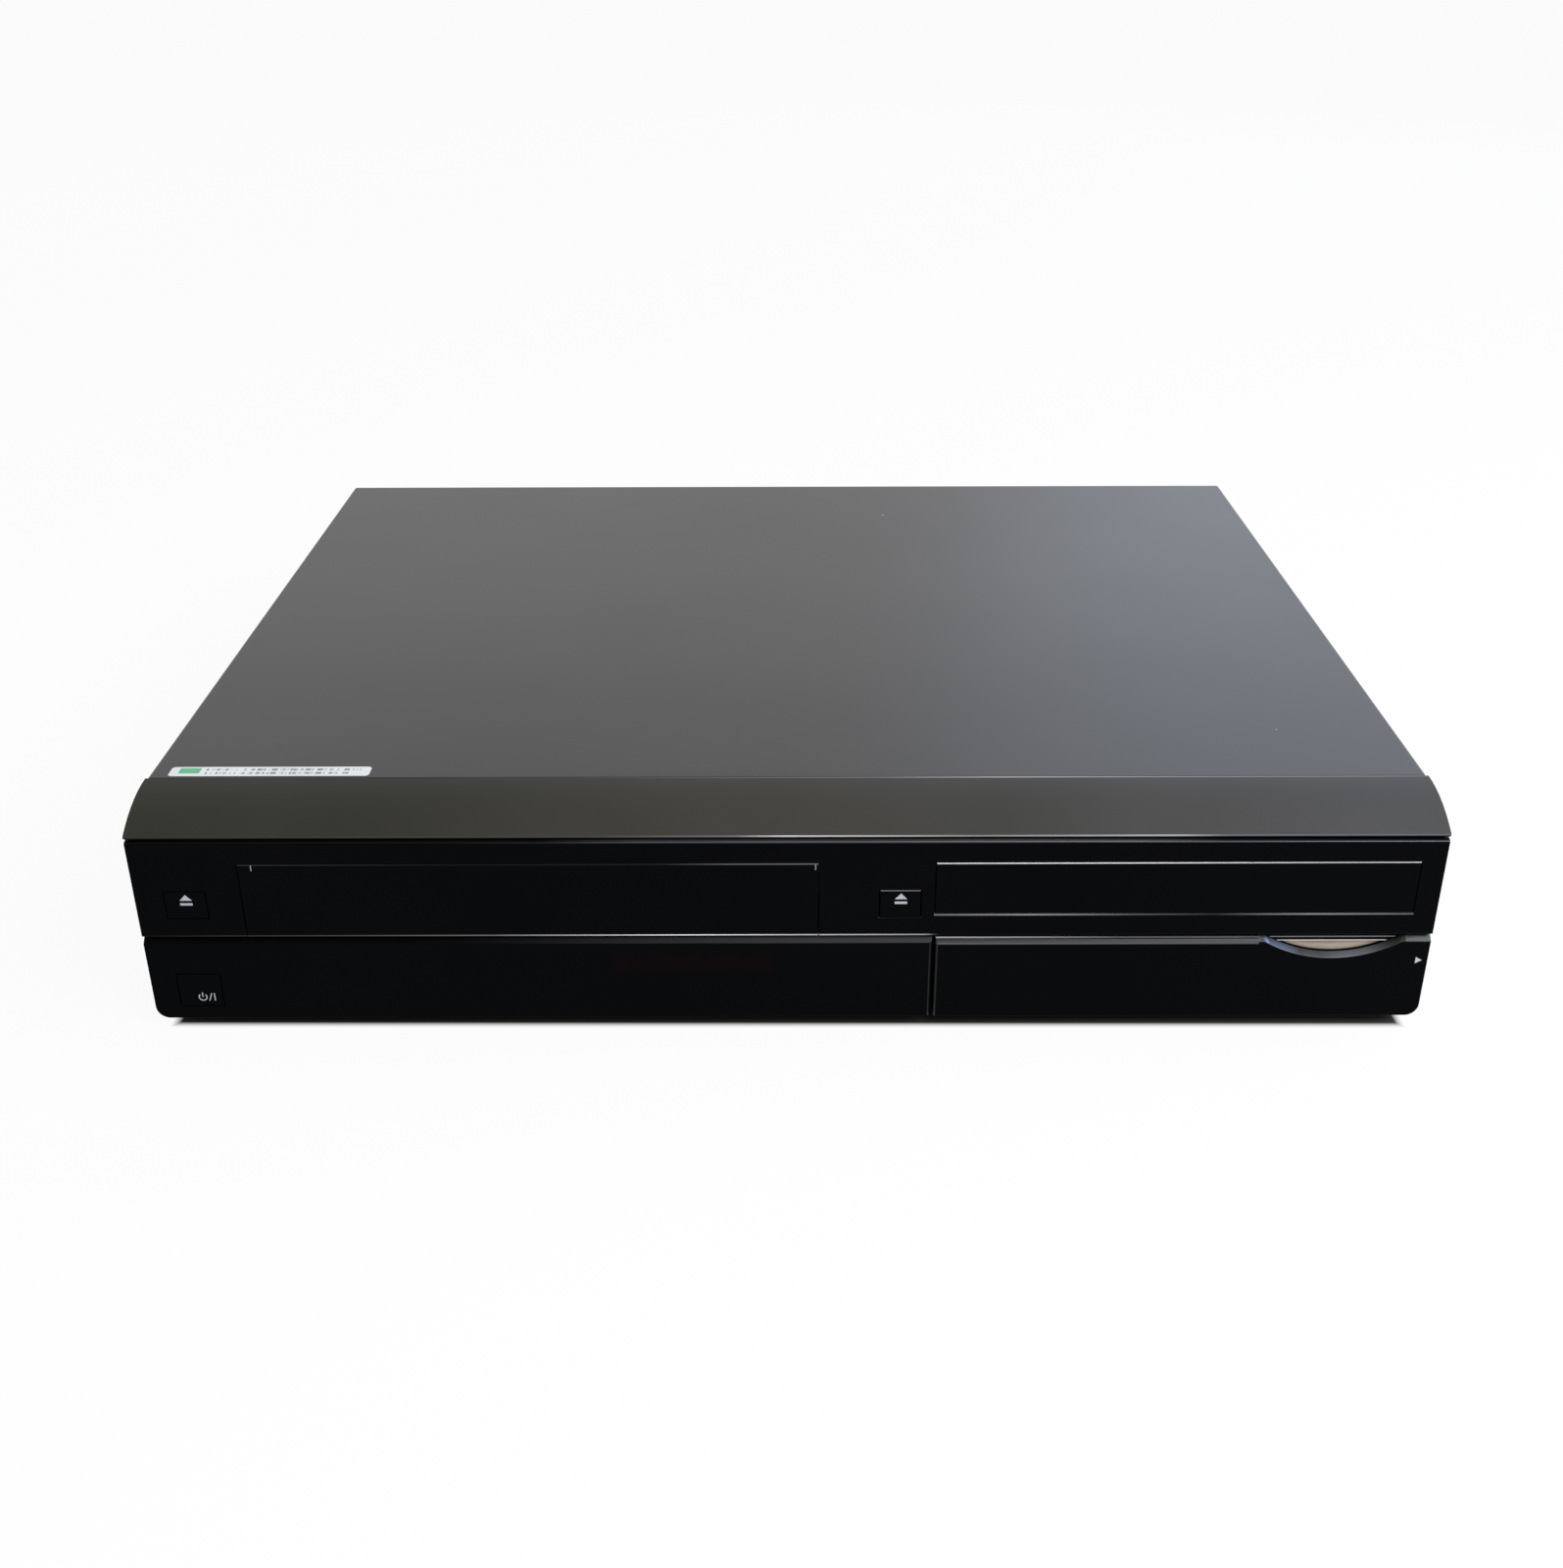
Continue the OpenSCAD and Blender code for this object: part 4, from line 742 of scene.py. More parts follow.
# copper under clear enamel: deep orange brown
COPPER_COIL = Metal("enamelled_copper_wire", "#a8602f", "#8a4b24", roughness=0.35, blotch_mm=3.0)
# acetal, self-lubricating: milky white with a waxy gloss
WHITE_ACETAL = Moulded("moulded_white_acetal", "#dcdcd6", "#cfcfc8", roughness=0.42)
# black rubber: dull all over, with no highlight to speak of
RUBBER = Moulded("moulded_black_rubber", "#151515", "#1c1c1b", roughness=0.82, depth_um=15.0)
# polycarbonate with glass fibre: dark grey, half matt
DRIVE_BLACK = Moulded("glass_filled_black_polycarbonate", "#1b1c1f", "#222326", roughness=0.5, depth_um=10.0)
# polyester film over flat tinned wires: off-white and smooth
FLAT_CABLE = Finish("laminated_polyester_flat_cable", "#d5d5cf", "#c6c6bf", roughness=0.38, blotch_mm=6.0)
# glass fibre laminate under green lacquer: glossy, with lighter tracks
GREEN_BOARD = CircuitBoard("green_lacquered_glass_fibre_board")
# the same, all lacquer, since its components are pieces of their own
FRONT_BOARD = CircuitBoard("green_lacquered_front_board", roughness=0.4, top_mm=900.0)
# paper laminate: tan and duller than glass fibre
TAN_BOARD = CircuitBoard(
    "paper_phenolic_board", "#a07c42", "#8f6e39", roughness=0.5, track="#b98f4f", parts="#4b4c50", top_mm=13.8
)
# smoked glass: almost black, with a sharp highlight
TUBE_GLASS = SmokedGlass("smoked_display_tube_glass", "#0c1414", "#101a1a", roughness=0.05, blotch_mm=30.0)
# silk-screen ink: thin, matt and slightly blue beside the black
WHITE_INK = Finish("white_silk_screen_ink", "#b9bcc6", "#aeb1bb", roughness=0.55, blotch_mm=4.0)
# pale grey that stands for a glint on the black hinge tips: a painted glint
TIP_GLINT = Finish("acrylic_tip_painted_glint", "#8f9198", "#7d7f86", roughness=0.15, blotch_mm=4.0)
# coloured ABS of the sockets' collars: clear colours, half matt
RING_YELLOW = Moulded("yellow_moulded_ABS", "#d8b21c", "#c9a415", roughness=0.4, grain_mm=0.3)
RING_WHITE = Moulded("white_moulded_ABS", "#d9d9d6", "#cfcfcb", roughness=0.4, grain_mm=0.3)
RING_RED = Moulded("red_moulded_ABS", "#b3221f", "#a01c1a", roughness=0.4, grain_mm=0.3)
# glass with an anti-reflection coat: a dark blue drop
LENS_GLASS = Finish("coated_lens_glass", "#27304d", "#2b3a63", roughness=0.04, specular=0.8, blotch_mm=3.0)


# ---------------------------------------------------------------- modelling helpers


def activate(obj: Obj) -> None:
    """Deselects everything, then selects one object and makes it the active one.

    Args:
        obj: the object.
    """
    if bpy.context.mode != "OBJECT":
        bpy.ops.object.mode_set(mode="OBJECT")
    bpy.ops.object.select_all(action="DESELECT")
    obj.select_set(True)
    bpy.context.view_layer.objects.active = obj


def named(name: str) -> Obj:
    """Names the primitive that was just added, and its mesh.

    Args:
        name: the name.

    Returns:
        The primitive's object.
    """
    obj = bpy.context.active_object
    obj.name = obj.data.name = name
    activate(obj)
    return obj


def fit(obj: Obj, low: Point, high: Point) -> None:
    """Sizes and places a primitive's mesh so that it fills a box, and leaves its object at the origin.

    Args:
        obj: the object, flat along an axis or not.
        low: the box's lowest corner, in metres.
        high: its highest corner.
    """
    activate(obj)
    bpy.ops.object.transform_apply()
    spans = [(min(c), max(c)) for c in zip(*obj.bound_box)]
    scale = [(high[i] - low[i]) / (end - start) if end - start > 1e-9 else 1.0 for i, (start, end) in enumerate(spans)]
    obj.scale = scale
    bpy.ops.object.transform_apply()
    obj.location = [(low[i] + high[i]) / 2 - sum(spans[i]) / 2 * scale[i] for i in range(3)]
    bpy.ops.object.transform_apply()


def block(name: str, low: Point, high: Point) -> Obj:
    """Adds a cube primitive that fills a box.

    Args:
        name: its name.
        low: the box's lowest corner, in metres.
        high: its highest corner.

    Returns:
        The block.
    """
    bpy.ops.mesh.primitive_cube_add(size=1.0)
    obj = named(name)
    fit(obj, low, high)
    return obj


def pick(obj: Obj, kind: str = "VERT", test: Callable[[Vector, Vector], bool] | None = None) -> None:
    """Enters edit mode and selects all, or some faces or edges in code.

    Args:
        obj: the object to edit.
        kind: "VERT", "FACE" or "EDGE".
        test: says yes to a face or edge from its middle and its normal or direction; without it all is selected.
    """
    activate(obj)
    bpy.ops.object.mode_set(mode="EDIT")
    bpy.ops.mesh.select_mode(type=kind)
    bpy.ops.mesh.select_all(action="DESELECT" if test else "SELECT")
    if test is None:
        return
    mesh = bmesh.from_edit_mesh(obj.data)
    for part in mesh.faces if kind == "FACE" else mesh.edges:
        a, b = part.verts[0].co, part.verts[1].co
        place = (part.calc_center_median(), part.normal) if kind == "FACE" else ((a + b) / 2, (b - a).normalized())
        if test(*place):
            part.select_set(True)
    mesh.select_flush_mode()
    bmesh.update_edit_mesh(obj.data)


def pull(x: float, y: float, z: float) -> None:
    """Extrudes what is selected and moves it, in metres."""
    bpy.ops.mesh.extrude_region_move(TRANSFORM_OT_translate={"value": (x, y, z)})


def leave_edit() -> None:
    """Goes back to object mode."""
    bpy.ops.object.mode_set(mode="OBJECT")


def modify(obj: Obj, kind: str, **settings: object) -> None:
    """Adds a modifier and applies it.

    Args:
        obj: the object.
        kind: the modifier's type.
        settings: its properties.
    """
    activate(obj)
    modifier = obj.modifiers.new(kind.title(), kind)
    for name, value in settings.items():
        setattr(modifier, name, value)
    bpy.ops.object.modifier_apply(modifier=modifier.name)


def carve(obj: Obj, cutter: Obj) -> None:
    """Cuts one object out of another, and removes the cutter."""
    modify(obj, "BOOLEAN", operation="DIFFERENCE", object=cutter, solver="EXACT")
    bpy.data.objects.remove(cutter, do_unlink=True)


def soften(obj: Obj, width_mm: float, segments: int = 2, angle: float = 35.0) -> None:
    """Rounds the sharp edges and smooths the shading.

    Args:
        obj: the object.
        width_mm: width of the rounding.
        segments: faces across it.
        angle: edges sharper than this, in degrees, are rounded.
    """
    if width_mm > 0:
        bevel = {"width": width_mm * MM, "segments": segments, "angle_limit": math.radians(angle)}
        modify(obj, "BEVEL", limit_method="ANGLE", use_clamp_overlap=False, **bevel)
    activate(obj)
    bpy.ops.object.shade_smooth_by_angle(angle=math.radians(30))
    if width_mm > 0:
        # the flat faces keep their own normal, so that only the rounding is shaded round
        modify(obj, "WEIGHTED_NORMAL", mode="FACE_AREA", weight=100, keep_sharp=True)


def ring(name: str, centre: Point, inner: float, outer: float, length: float, upright: bool = False) -> Obj:
    """Spins a rectangle into a closed ring.

    Args:
        name: the piece's name.
        centre: the middle of the ring, in metres.
        inner: radius of the hole, in metres.
        outer: outer radius, in metres.
        length: length along the axis, in metres.
        upright: whether the axis is Z and not Y.

    Returns:
        The ring.
    """
    bpy.ops.mesh.primitive_plane_add(size=1.0)
    obj = named(name)
    x, y, z = centre
    if upright:
        obj.rotation_euler = (math.pi / 2, 0.0, 0.0)
        fit(obj, (x + inner, y, z - length / 2), (x + outer, y, z + length / 2))
    else:
        fit(obj, (x + inner, y - length / 2, z), (x + outer, y + length / 2, z))
    pick(obj)
    bpy.ops.mesh.delete(type="ONLY_FACE")
    bpy.ops.mesh.select_all(action="SELECT")
    axis = (0.0, 0.0, 1.0) if upright else (0.0, 1.0, 0.0)
    bpy.ops.mesh.spin(steps=40, angle=2 * math.pi, center=centre, axis=axis)
    bpy.ops.mesh.select_all(action="SELECT")
    bpy.ops.mesh.remove_doubles(threshold=1e-6)
    bpy.ops.mesh.normals_make_consistent(inside=False)
    leave_edit()
    return obj


def twin(obj: Obj, name: str, move: Matrix | None = None) -> Obj:
    """Copies a piece with its own mesh.

    Args:
        obj: the piece that is copied.
        name: the copy's name.
        move: how the copy is moved, if it is.

    Returns:
        The copy.
    """
    copy = bpy.data.objects.new(name, obj.data.copy())
    copy.data.name = name
    bpy.context.collection.objects.link(copy)
    if move is not None:
        copy.data.transform(move)
    return copy


def shell_of(node: str, name: str, width_mm: float, segments: int = 2) -> Obj:
    """Copies a CAD node's mesh, joins its loose triangles and rounds its edges.

    Args:
        node: the CAD node.
        name: the new piece's name.
        width_mm: width of the rounding.
        segments: faces across it.

    Returns:
        The new piece.
    """
    obj = twin(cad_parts[node], name)
    activate(obj)
    if obj.data.has_custom_normals:
        bpy.ops.mesh.customdata_custom_splitnormals_clear()
    pick(obj)
    bpy.ops.mesh.remove_doubles(threshold=2e-6)
    bpy.ops.mesh.dissolve_limited(angle_limit=math.radians(0.4))
    leave_edit()
    soften(obj, width_mm, segments)
    return obj


# ---------------------------------------------------------------- sub-assemblies


Dressing = tuple[tuple[Finish, tuple[str, ...]], ...]
Steps = tuple[Callable[[], None], ...]


@dataclass
class SubAssembly:
    """A group of pieces with one place in the recorder.

    Sizes are in metres: x is taken from the middle, z from the floor, and a depth from the front face backwards.

    Attributes:
        title: what the log calls it.
        dressed: finishes, each with the CAD nodes that keep their shape and get it.
    """

    title: str = "sub-assembly"
    dressed: Dressing = ()

    def add(self, obj: Obj, body: str, finish: Finish, slot: str, *replaced: str) -> None:
        """Finishes a new piece: material, body and the CAD nodes that it stands for.

        Args:
            obj: the piece.
            body: the CAD body that it moves with.
            finish: its finish.
            slot: the name of a material slot; not used.
            replaced: CAD nodes that it replaces.
        """
        finish.put_on(obj)
        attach(obj, body)
        if replaced:
            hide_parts(*replaced)
        LOG.info("%s: added %s on %s", self.title, obj.name, body)

    def steps(self) -> Steps:
        """Gives the methods that build the group's own pieces, in order."""
        return ()

    def build(self) -> None:
        """Gives the CAD nodes their finishes, then builds the group's own pieces."""
        for finish, nodes in self.dressed:
            for node in nodes:
                finish.put_on(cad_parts[node])
                LOG.info("%s: %s is %s", self.title, node, finish.name)
        for step in self.steps():
            step()


@dataclass
class Casing(SubAssembly):
    """Top cover, trim strip, chassis, rear panel, feet, screws and the paper label."""

    title: str = "casing"
    dressed: Dressing = ((ZINC_STEEL, ("base_chassis", "rear_panel")),)
    foot_radius: float = 12 * MM
    foot_height: float = 5 * MM
    foot_x: float = 190 * MM
    foot_depths: Pair = (45 * MM, 300 * MM)
    foot_rim: float = 4.5 * MM
    foot_hollow: float = 1.2 * MM
    foot_collar: float = 2.6 * MM
    foot_fixing: float = 0.6 * MM
    screw_radius: float = 2.8 * MM
    screw_head: float = 1.0 * MM
    screw_under: float = 0.4 * MM
    screw_round: float = 0.55 * MM
    recess: Pair = (1.7 * MM, 0.35 * MM)
    side_screws: tuple[tuple[str, float], ...] = (("front", 60 * MM), ("back", 290 * MM))
    side_screw_z: float = 12 * MM
    rear_screws: tuple[tuple[str, float], ...] = (("left", -120 * MM), ("middle", 50 * MM), ("right", 130 * MM))
    rear_screw_z: float = 77 * MM
    rear_depth: float = 346 * MM
    label_left: float = -208 * MM
    label_depth: float = 28.2 * MM
    label_size: Pair = (67.6 * MM, 6.8 * MM)
    label_thickness: float = 0.12 * MM
    label_corner: float = 1.4 * MM

    def shells(self) -> None:
        """Rounds the cover's sheet edges and the trim strip's edges."""
        cover = shell_of("top_cover", "top_cover_painted", 0.22)
        self.add(cover, "case", COVER_PAINT, "cover_paint", "top_cover")
        strip = shell_of("sloped_trim", "sloped_trim_brushed", 0.3, 3)
        self.add(strip, "case", TRIM_STRIP, "trim_metal", "sloped_trim")

    def feet(self) -> None:
        """Models one rubber foot, with a rounded rim and a recess round its fixing, and copies it."""
        bpy.ops.mesh.primitive_cylinder_add(vertices=64, radius=1.0, depth=1.0)
        foot = named("foot_front_left")
        x, y, r = -self.foot_x, FRONT_Y + self.foot_depths[0], self.foot_radius
        fit(foot, (x - r, y - r, 0.0), (x + r, y + r, self.foot_height))
        pick(foot, "FACE", lambda middle, way: way.z < -0.9)
        bpy.ops.mesh.inset(thickness=self.foot_rim)
        pull(0.0, 0.0, self.foot_hollow)
        bpy.ops.mesh.inset(thickness=self.foot_collar)
        pull(0.0, 0.0, -self.foot_fixing)
        leave_edit()
        soften(foot, 0.5, 3)
        self.add(foot, "case", RUBBER, "black_rubber", "feet")
        right, back = 2 * self.foot_x, self.foot_depths[1] - self.foot_depths[0]
        for name, dx, dy in (("front_right", right, 0.0), ("back_left", 0.0, back), ("back_right", right, back)):
            copy = twin(foot, f"foot_{name}", Matrix.Translation((dx, dy, 0.0)))
            self.add(copy, "case", RUBBER, "black_rubber")

    def screws(self) -> None:
        """Models one pan head with a cross recess and copies it to each of the cover's screws."""
        bpy.ops.mesh.primitive_cylinder_add(vertices=40, radius=1.0, depth=1.0)
        head = named("cover_screw_head")
        r, t = self.screw_radius, self.screw_head
        # the head lies on the XY plane, with a short neck under it that sinks into the sheet
        fit(head, (-r, -r, -self.screw_under), (r, r, t))
        pick(head, "EDGE", lambda middle, way: middle.z > t * 0.9)
        bpy.ops.mesh.bevel(offset=self.screw_round, segments=3, affect="EDGES")
        leave_edit()
        for x, y in (self.recess, self.recess[::-1]):
            carve(head, block("recess_cutter", (-x, -y, t * 0.35), (x, y, t * 2)))
        soften(head, 0.0)
        low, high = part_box("screws")
        places: list[tuple[str, Point, float, str]] = []
        for side, x in (("left", low[0] + t), ("right", high[0] - t)):
            for end, depth in self.side_screws:
                spot = (x, FRONT_Y + depth, self.side_screw_z)
                places.append((f"screw_{side}_{end}", spot, math.copysign(math.pi / 2, x), "Y"))
        for name, x in self.rear_screws:
            spot = (x, FRONT_Y + self.rear_depth, self.rear_screw_z)
            places.append((f"screw_rear_{name}", spot, -math.pi / 2, "X"))
        # the first head stands for the CAD node of all the screws
        replaced = ("screws",)
        for name, spot, angle, axis in places:
            screw = twin(head, name, Matrix.Translation(spot) @ Matrix.Rotation(angle, 4, axis))
            self.add(screw, "case", BLACK_SCREW, "plated_steel", *replaced)
            replaced = ()
        bpy.data.objects.remove(head, do_unlink=True)

    def label(self) -> None:
        """Lays a thin label with rounded corners on the cover, just behind the seam."""
        x, y, z = self.label_left, FRONT_Y + self.label_depth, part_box("top_cover")[1][2]
        bpy.ops.mesh.primitive_plane_add(size=1.0)
        label = named("paper_label")
        fit(label, (x, y, z), (x + self.label_size[0], y + self.label_size[1], z))
        pick(label)
        bpy.ops.mesh.bevel(offset=self.label_corner, segments=6, affect="VERTICES")
        leave_edit()
        modify(label, "SOLIDIFY", thickness=self.label_thickness, offset=1.0)
        soften(label, 0.03)
        # coated paper: off-white with a faint sheen, brighter than anything round it
        paper = PrintedLabel(
            "coated_paper_label",
            "#e8ecee",
            "#dfe5e6",
            roughness=0.45,
            blotch_mm=20.0,
            corner=(x, y),
            size=self.label_size,
        )
        self.add(label, "case", paper, "white_plastic")

    def steps(self) -> Steps:
        """Gives the methods that build the casing's own pieces, in order."""
        return self.shells, self.feet, self.screws, self.label


@dataclass
class FrontPanel(SubAssembly):
    """Bezel, panels, door, tape flap, tray front, buttons, keys and their printed marks."""

    title: str = "front"
    dressed: Dressing = (
        (FRONT_BOARD, ("front_board",)),
        (TUBE_GLASS, ("display_tube",)),
        (NICKEL_PLATE, ("front_digital_sockets", "front_av_sockets")),
        (KEY_GREY, ("rec_key", "stop_key", "channel_down_key", "channel_up_key")),
    )
    shell_plan: tuple[tuple[str, str, Finish, float], ...] = (
        ("front_bezel", "case", BEZEL_GLOSS, 0.2),
        ("display_panel", "case", PANEL_GLOSS, 0.25),
        ("front_door", "front_door", PANEL_GLOSS, 0.25),
        ("cassette_flap", "cassette_flap", SHARP_GLOSS, 0.15),
        ("power_button", "power_button", SHARP_GLOSS, 0.12),
        ("tape_eject_button", "tape_eject_button", SHARP_GLOSS, 0.12),
        ("disc_open_button", "disc_open_button", BRIGHT_EDGE_GLOSS, 0.4),
    )
    ink: float = 0.03 * MM
    eject_x: float = -198.1 * MM
    open_x: float = 37.6 * MM
    eject_mark_z: float = 51.4 * MM
    power_mark: Pair = (-196.4 * MM, 13.4 * MM)
    pull_mark: Pair = (211.9 * MM, 27.1 * MM)
    key_x: tuple[float, ...] = (60.2 * MM, 73.2 * MM, 86.2 * MM, 99.2 * MM)
    key_z: float = 29 * MM
    key_shapes: tuple[tuple[str, str, int, float], ...] = (
        ("record_mark", "rec_key", 32, 0.0),
        ("stop_mark", "stop_key", 4, 45.0),
        ("channel_down_mark", "channel_down_key", 3, 180.0),
        ("channel_up_mark", "channel_up_key", 3, 0.0),
    )
    socket_x: Point = (132.2 * MM, 146.2 * MM, 160.2 * MM)
    socket_z: float = 15.5 * MM
    socket_depth: float = 14.2 * MM
    collar_size: tuple[float, float, float] = (4.25 * MM, 5.6 * MM, 0.8 * MM)
    tip_x: tuple[tuple[str, float], ...] = (("left", -175.0 * MM), ("right", 9.4 * MM))
    tip_half: float = 0.22 * MM
    tip_depths: Pair = (-0.02 * MM, 0.6 * MM)
    tip_z: Pair = (62.4 * MM, 64.6 * MM)
    notch: Pair = (182.5 * MM, 36.6 * MM)
    notch_half: float = 25.5 * MM
    notch_depth: float = 8.6 * MM
    notch_radius: float = 44.0 * MM
    tray_thickness: float = 2.4 * MM
    tray_boss_inset: float = 5.0 * MM
    tray_round: float = 0.65 * MM
    door_thickness: float = 2.85 * MM
    scoop_depth: float = 3.8 * MM
    bar_depth: float = 2.3 * MM
    bar_height: float = 3.1 * MM

    def shells(self) -> None:
        """Rounds the edges of the glossy mouldings."""
        for node, body, finish, width in self.shell_plan:
            self.add(shell_of(node, f"{node}_glossy", width), body, finish, "black_gloss", node)

    def tray_front(self) -> None:
        """Models the tray's front: a bar with a broad rounded top edge and a boss that clips into the tray."""
        low, high = (Vector(c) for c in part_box("tray_front"))
        back = FRONT_Y + self.tray_thickness
        bar = block("tray_front_glossy", low, (high.x, back, high.z))
        pick(bar, "FACE", lambda middle, way: way.y > 0.9)
        bpy.ops.mesh.inset(thickness=self.tray_boss_inset)
        pull(0.0, high.y - back, 0.0)

        def front_top(middle: Vector, way: Vector) -> bool:
            """Says yes to the upper edge of the front face."""
            return abs(way.x) > 0.9 and middle.y < low.y + 1e-5 and middle.z > high.z - 1e-5

        pick(bar, "EDGE", front_top)
        bpy.ops.mesh.bevel(offset=self.tray_round, segments=4, affect="EDGES")
        leave_edit()
        soften(bar, 0.12, 2, 50.0)
        self.add(bar, "tray", BRIGHT_EDGE_GLOSS, "black_gloss", "tray_front")

    def pull_scoop(self) -> None:
        """Models the scoop behind the door's finger notch, a block with a cone cut out, and the bar over it."""
        x, z = self.notch
        left, right, top = x - self.notch_half, x + self.notch_half, z - 0.4 * MM
        lip = FRONT_Y + self.door_thickness
        foot = z - self.notch_depth
        scoop = block("door_pull_scoop", (left, lip, foot - 1.0 * MM), (right, lip + self.scoop_depth, top))
        wide, narrow = self.notch_radius - 0.6 * MM, self.notch_radius - 8.2 * MM
        bpy.ops.mesh.primitive_cone_add(vertices=160, radius1=wide, radius2=narrow, depth=4.2 * MM)
        cutter = named("scoop_cutter")
        spot = Matrix.Translation((x, lip + self.scoop_depth / 2, foot + self.notch_radius))
        cutter.data.transform(spot @ Matrix.Rotation(-math.pi / 2, 4, "X"))
        carve(scoop, cutter)
        soften(scoop, 0.15)
        self.add(scoop, "front_door", PULL_CREAM, "white_plastic")
        # the narrow face in front is black like the door
        scoop.data.materials.append(PULL_BAR_GLOSS.material())
        scoop.active_material_index = 1
        pick(scoop, "FACE", lambda middle, way: way.y < -0.95)
        bpy.ops.object.material_slot_assign()
        leave_edit()
        corner = (left, FRONT_Y + self.bar_depth, z - self.bar_height)
        bar = block("door_pull_bar", corner, (right, lip + 0.1 * MM, top))
        soften(bar, 0.12)
        self.add(bar, "front_door", PULL_BAR_GLOSS, "black_gloss")

    def flat(self, name: str, body: str, first: Obj, *others: Obj) -> None:
        """Joins flat outlines, gives them the thickness of ink, and prints them on a body.

        Args:
            name: the mark's name.
            body: the body that it is printed on.
            first: an outline, flat along Y.
            others: more of them.
        """
        activate(first)
        for other in others:
            other.select_set(True)
        bpy.ops.object.join()
        first.name = first.data.name = name
        modify(first, "SOLIDIFY", thickness=self.ink, offset=0.0)
        pick(first)
        bpy.ops.mesh.normals_make_consistent(inside=False)
        leave_edit()
        self.add(first, body, WHITE_INK, "white_plastic")

    def outline(self, sides: int, turn: float, spot: Point, wide: float, high: float) -> Obj:
        """Adds a regular outline that faces forwards, filling a width and a height.

        Args:
            sides: how many corners it has.
            turn: how far it is turned, in degrees, seen from the front.
            spot: its middle, in metres.
            wide: its width, in millimetres.
            high: its height, in millimetres.

        Returns:
            The outline.
        """
        bpy.ops.mesh.primitive_circle_add(vertices=sides, radius=1.0, fill_type="NGON")
        obj = named("outline")
        obj.rotation_euler = (math.pi / 2, math.radians(turn), 0.0)
        x, y, z = spot
        half_x, half_z = wide * MM / 2, high * MM / 2
        fit(obj, (x - half_x, y, z - half_z), (x + half_x, y, z + half_z))
        return obj

    def eject_mark(self, name: str, body: str, x: float) -> None:
        """Prints a triangle over a bar.

        Args:
            name: the mark's name.
            body: the button.
            x: the mark's middle, in metres.
        """
        y, z = FRONT_Y - self.ink / 2, self.eject_mark_z
        triangle = self.outline(3, 0.0, (x, y, z + 1.0 * MM), 4.1, 2.2)
        self.flat(name, body, triangle, self.outline(4, 45.0, (x, y, z - 1.45 * MM), 4.1, 0.9))

    def arc(self, centre: Point, radius: float, line: float, gap: float) -> Obj:
        """Spins a short line into an open ring with its gap at the top.

        Args:
            centre: the ring's middle, in metres.
            radius: its outer radius.
            line: width of the line.
            gap: the gap's angle in degrees.

        Returns:
            The open ring.
        """
        bpy.ops.mesh.primitive_plane_add(size=1.0)
        obj = named("arc")
        start = math.radians(90 + gap / 2)
        way = Vector((math.cos(start), 0.0, math.sin(start)))
        pick(obj)
        bpy.ops.mesh.merge(type="CENTER")
        mesh = bmesh.from_edit_mesh(obj.data)
        mesh.verts.ensure_lookup_table()
        mesh.verts[0].co = Vector(centre) + way * (radius - line)
        bmesh.update_edit_mesh(obj.data)
        pull(*(way * line))
        bpy.ops.mesh.select_all(action="SELECT")
        bpy.ops.mesh.spin(steps=36, angle=math.radians(360 - gap), center=centre, axis=(0.0, 1.0, 0.0))
        leave_edit()
        return obj

    def standby_mark(self) -> None:
        """Prints the standby mark: an open ring with a line in its gap, then a slash and a line."""
        (x, z), y = self.power_mark, FRONT_Y - self.ink / 2
        ring_x, slash_x = x - 1.8 * MM, x + 0.8 * MM
        slash = self.outline(4, 45.0, (slash_x, y, z), 0.36, 3.2)
        spot = Matrix.Translation((slash_x, y, z))
        slash.data.transform(spot @ Matrix.Rotation(math.radians(20), 4, "Y") @ spot.inverted())
        stem = self.outline(4, 45.0, (ring_x, y, z + 0.95 * MM), 0.38, 1.7)
        line = self.outline(4, 45.0, (x + 2.2 * MM, y, z), 0.38, 2.9)
        circle = self.arc((ring_x, y, z), 1.5 * MM, 0.38 * MM, 90.0)
        self.flat("power_mark", "power_button", circle, stem, line, slash)

    def marks(self) -> None:
        """Prints the marks on the buttons, the door and the keys."""
        self.eject_mark("tape_eject_mark", "tape_eject_button", self.eject_x)
        self.eject_mark("disc_open_mark", "disc_open_button", self.open_x)
        self.standby_mark()
        (x, z), y = self.pull_mark, FRONT_Y - self.ink / 2
        self.flat("door_pull_mark", "front_door", self.outline(3, 90.0, (x, y, z), 2.2, 2.5))
        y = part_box("rec_key")[0][1] - self.ink / 2
        for x, (mark, key, sides, turn) in zip(self.key_x, self.key_shapes):
            self.flat(mark, key, self.outline(sides, turn, (x, y, self.key_z), 1.9, 1.8))

    def hinge_tips(self) -> None:
        """Adds the tips that show in the slit over the flap, where its two hinge arms end, in pale grey: a painted
        glint.
        """
        (near, far), (low, high) = self.tip_depths, self.tip_z
        for name, x in self.tip_x:
            corner = (x - self.tip_half, FRONT_Y + near, low)
            tip = block(f"flap_hinge_tip_{name}", corner, (x + self.tip_half, FRONT_Y + far, high))
            soften(tip, 0.08)
            # pale grey: a painted glint on the black hinge tips
            self.add(tip, "cassette_flap", TIP_GLINT, "black_gloss")

    def sockets(self) -> None:
        """Puts the coloured rings round the sockets behind the door."""
        kinds = (("video", RING_YELLOW), ("audio_left", RING_WHITE), ("audio_right", RING_RED))
        for x, (name, finish) in zip(self.socket_x, kinds):
            centre = (x, FRONT_Y + self.socket_depth, self.socket_z)
            collar = ring(f"front_{name}_ring", centre, *self.collar_size)
            soften(collar, 0.2)
            self.add(collar, "case", finish, "white_plastic")

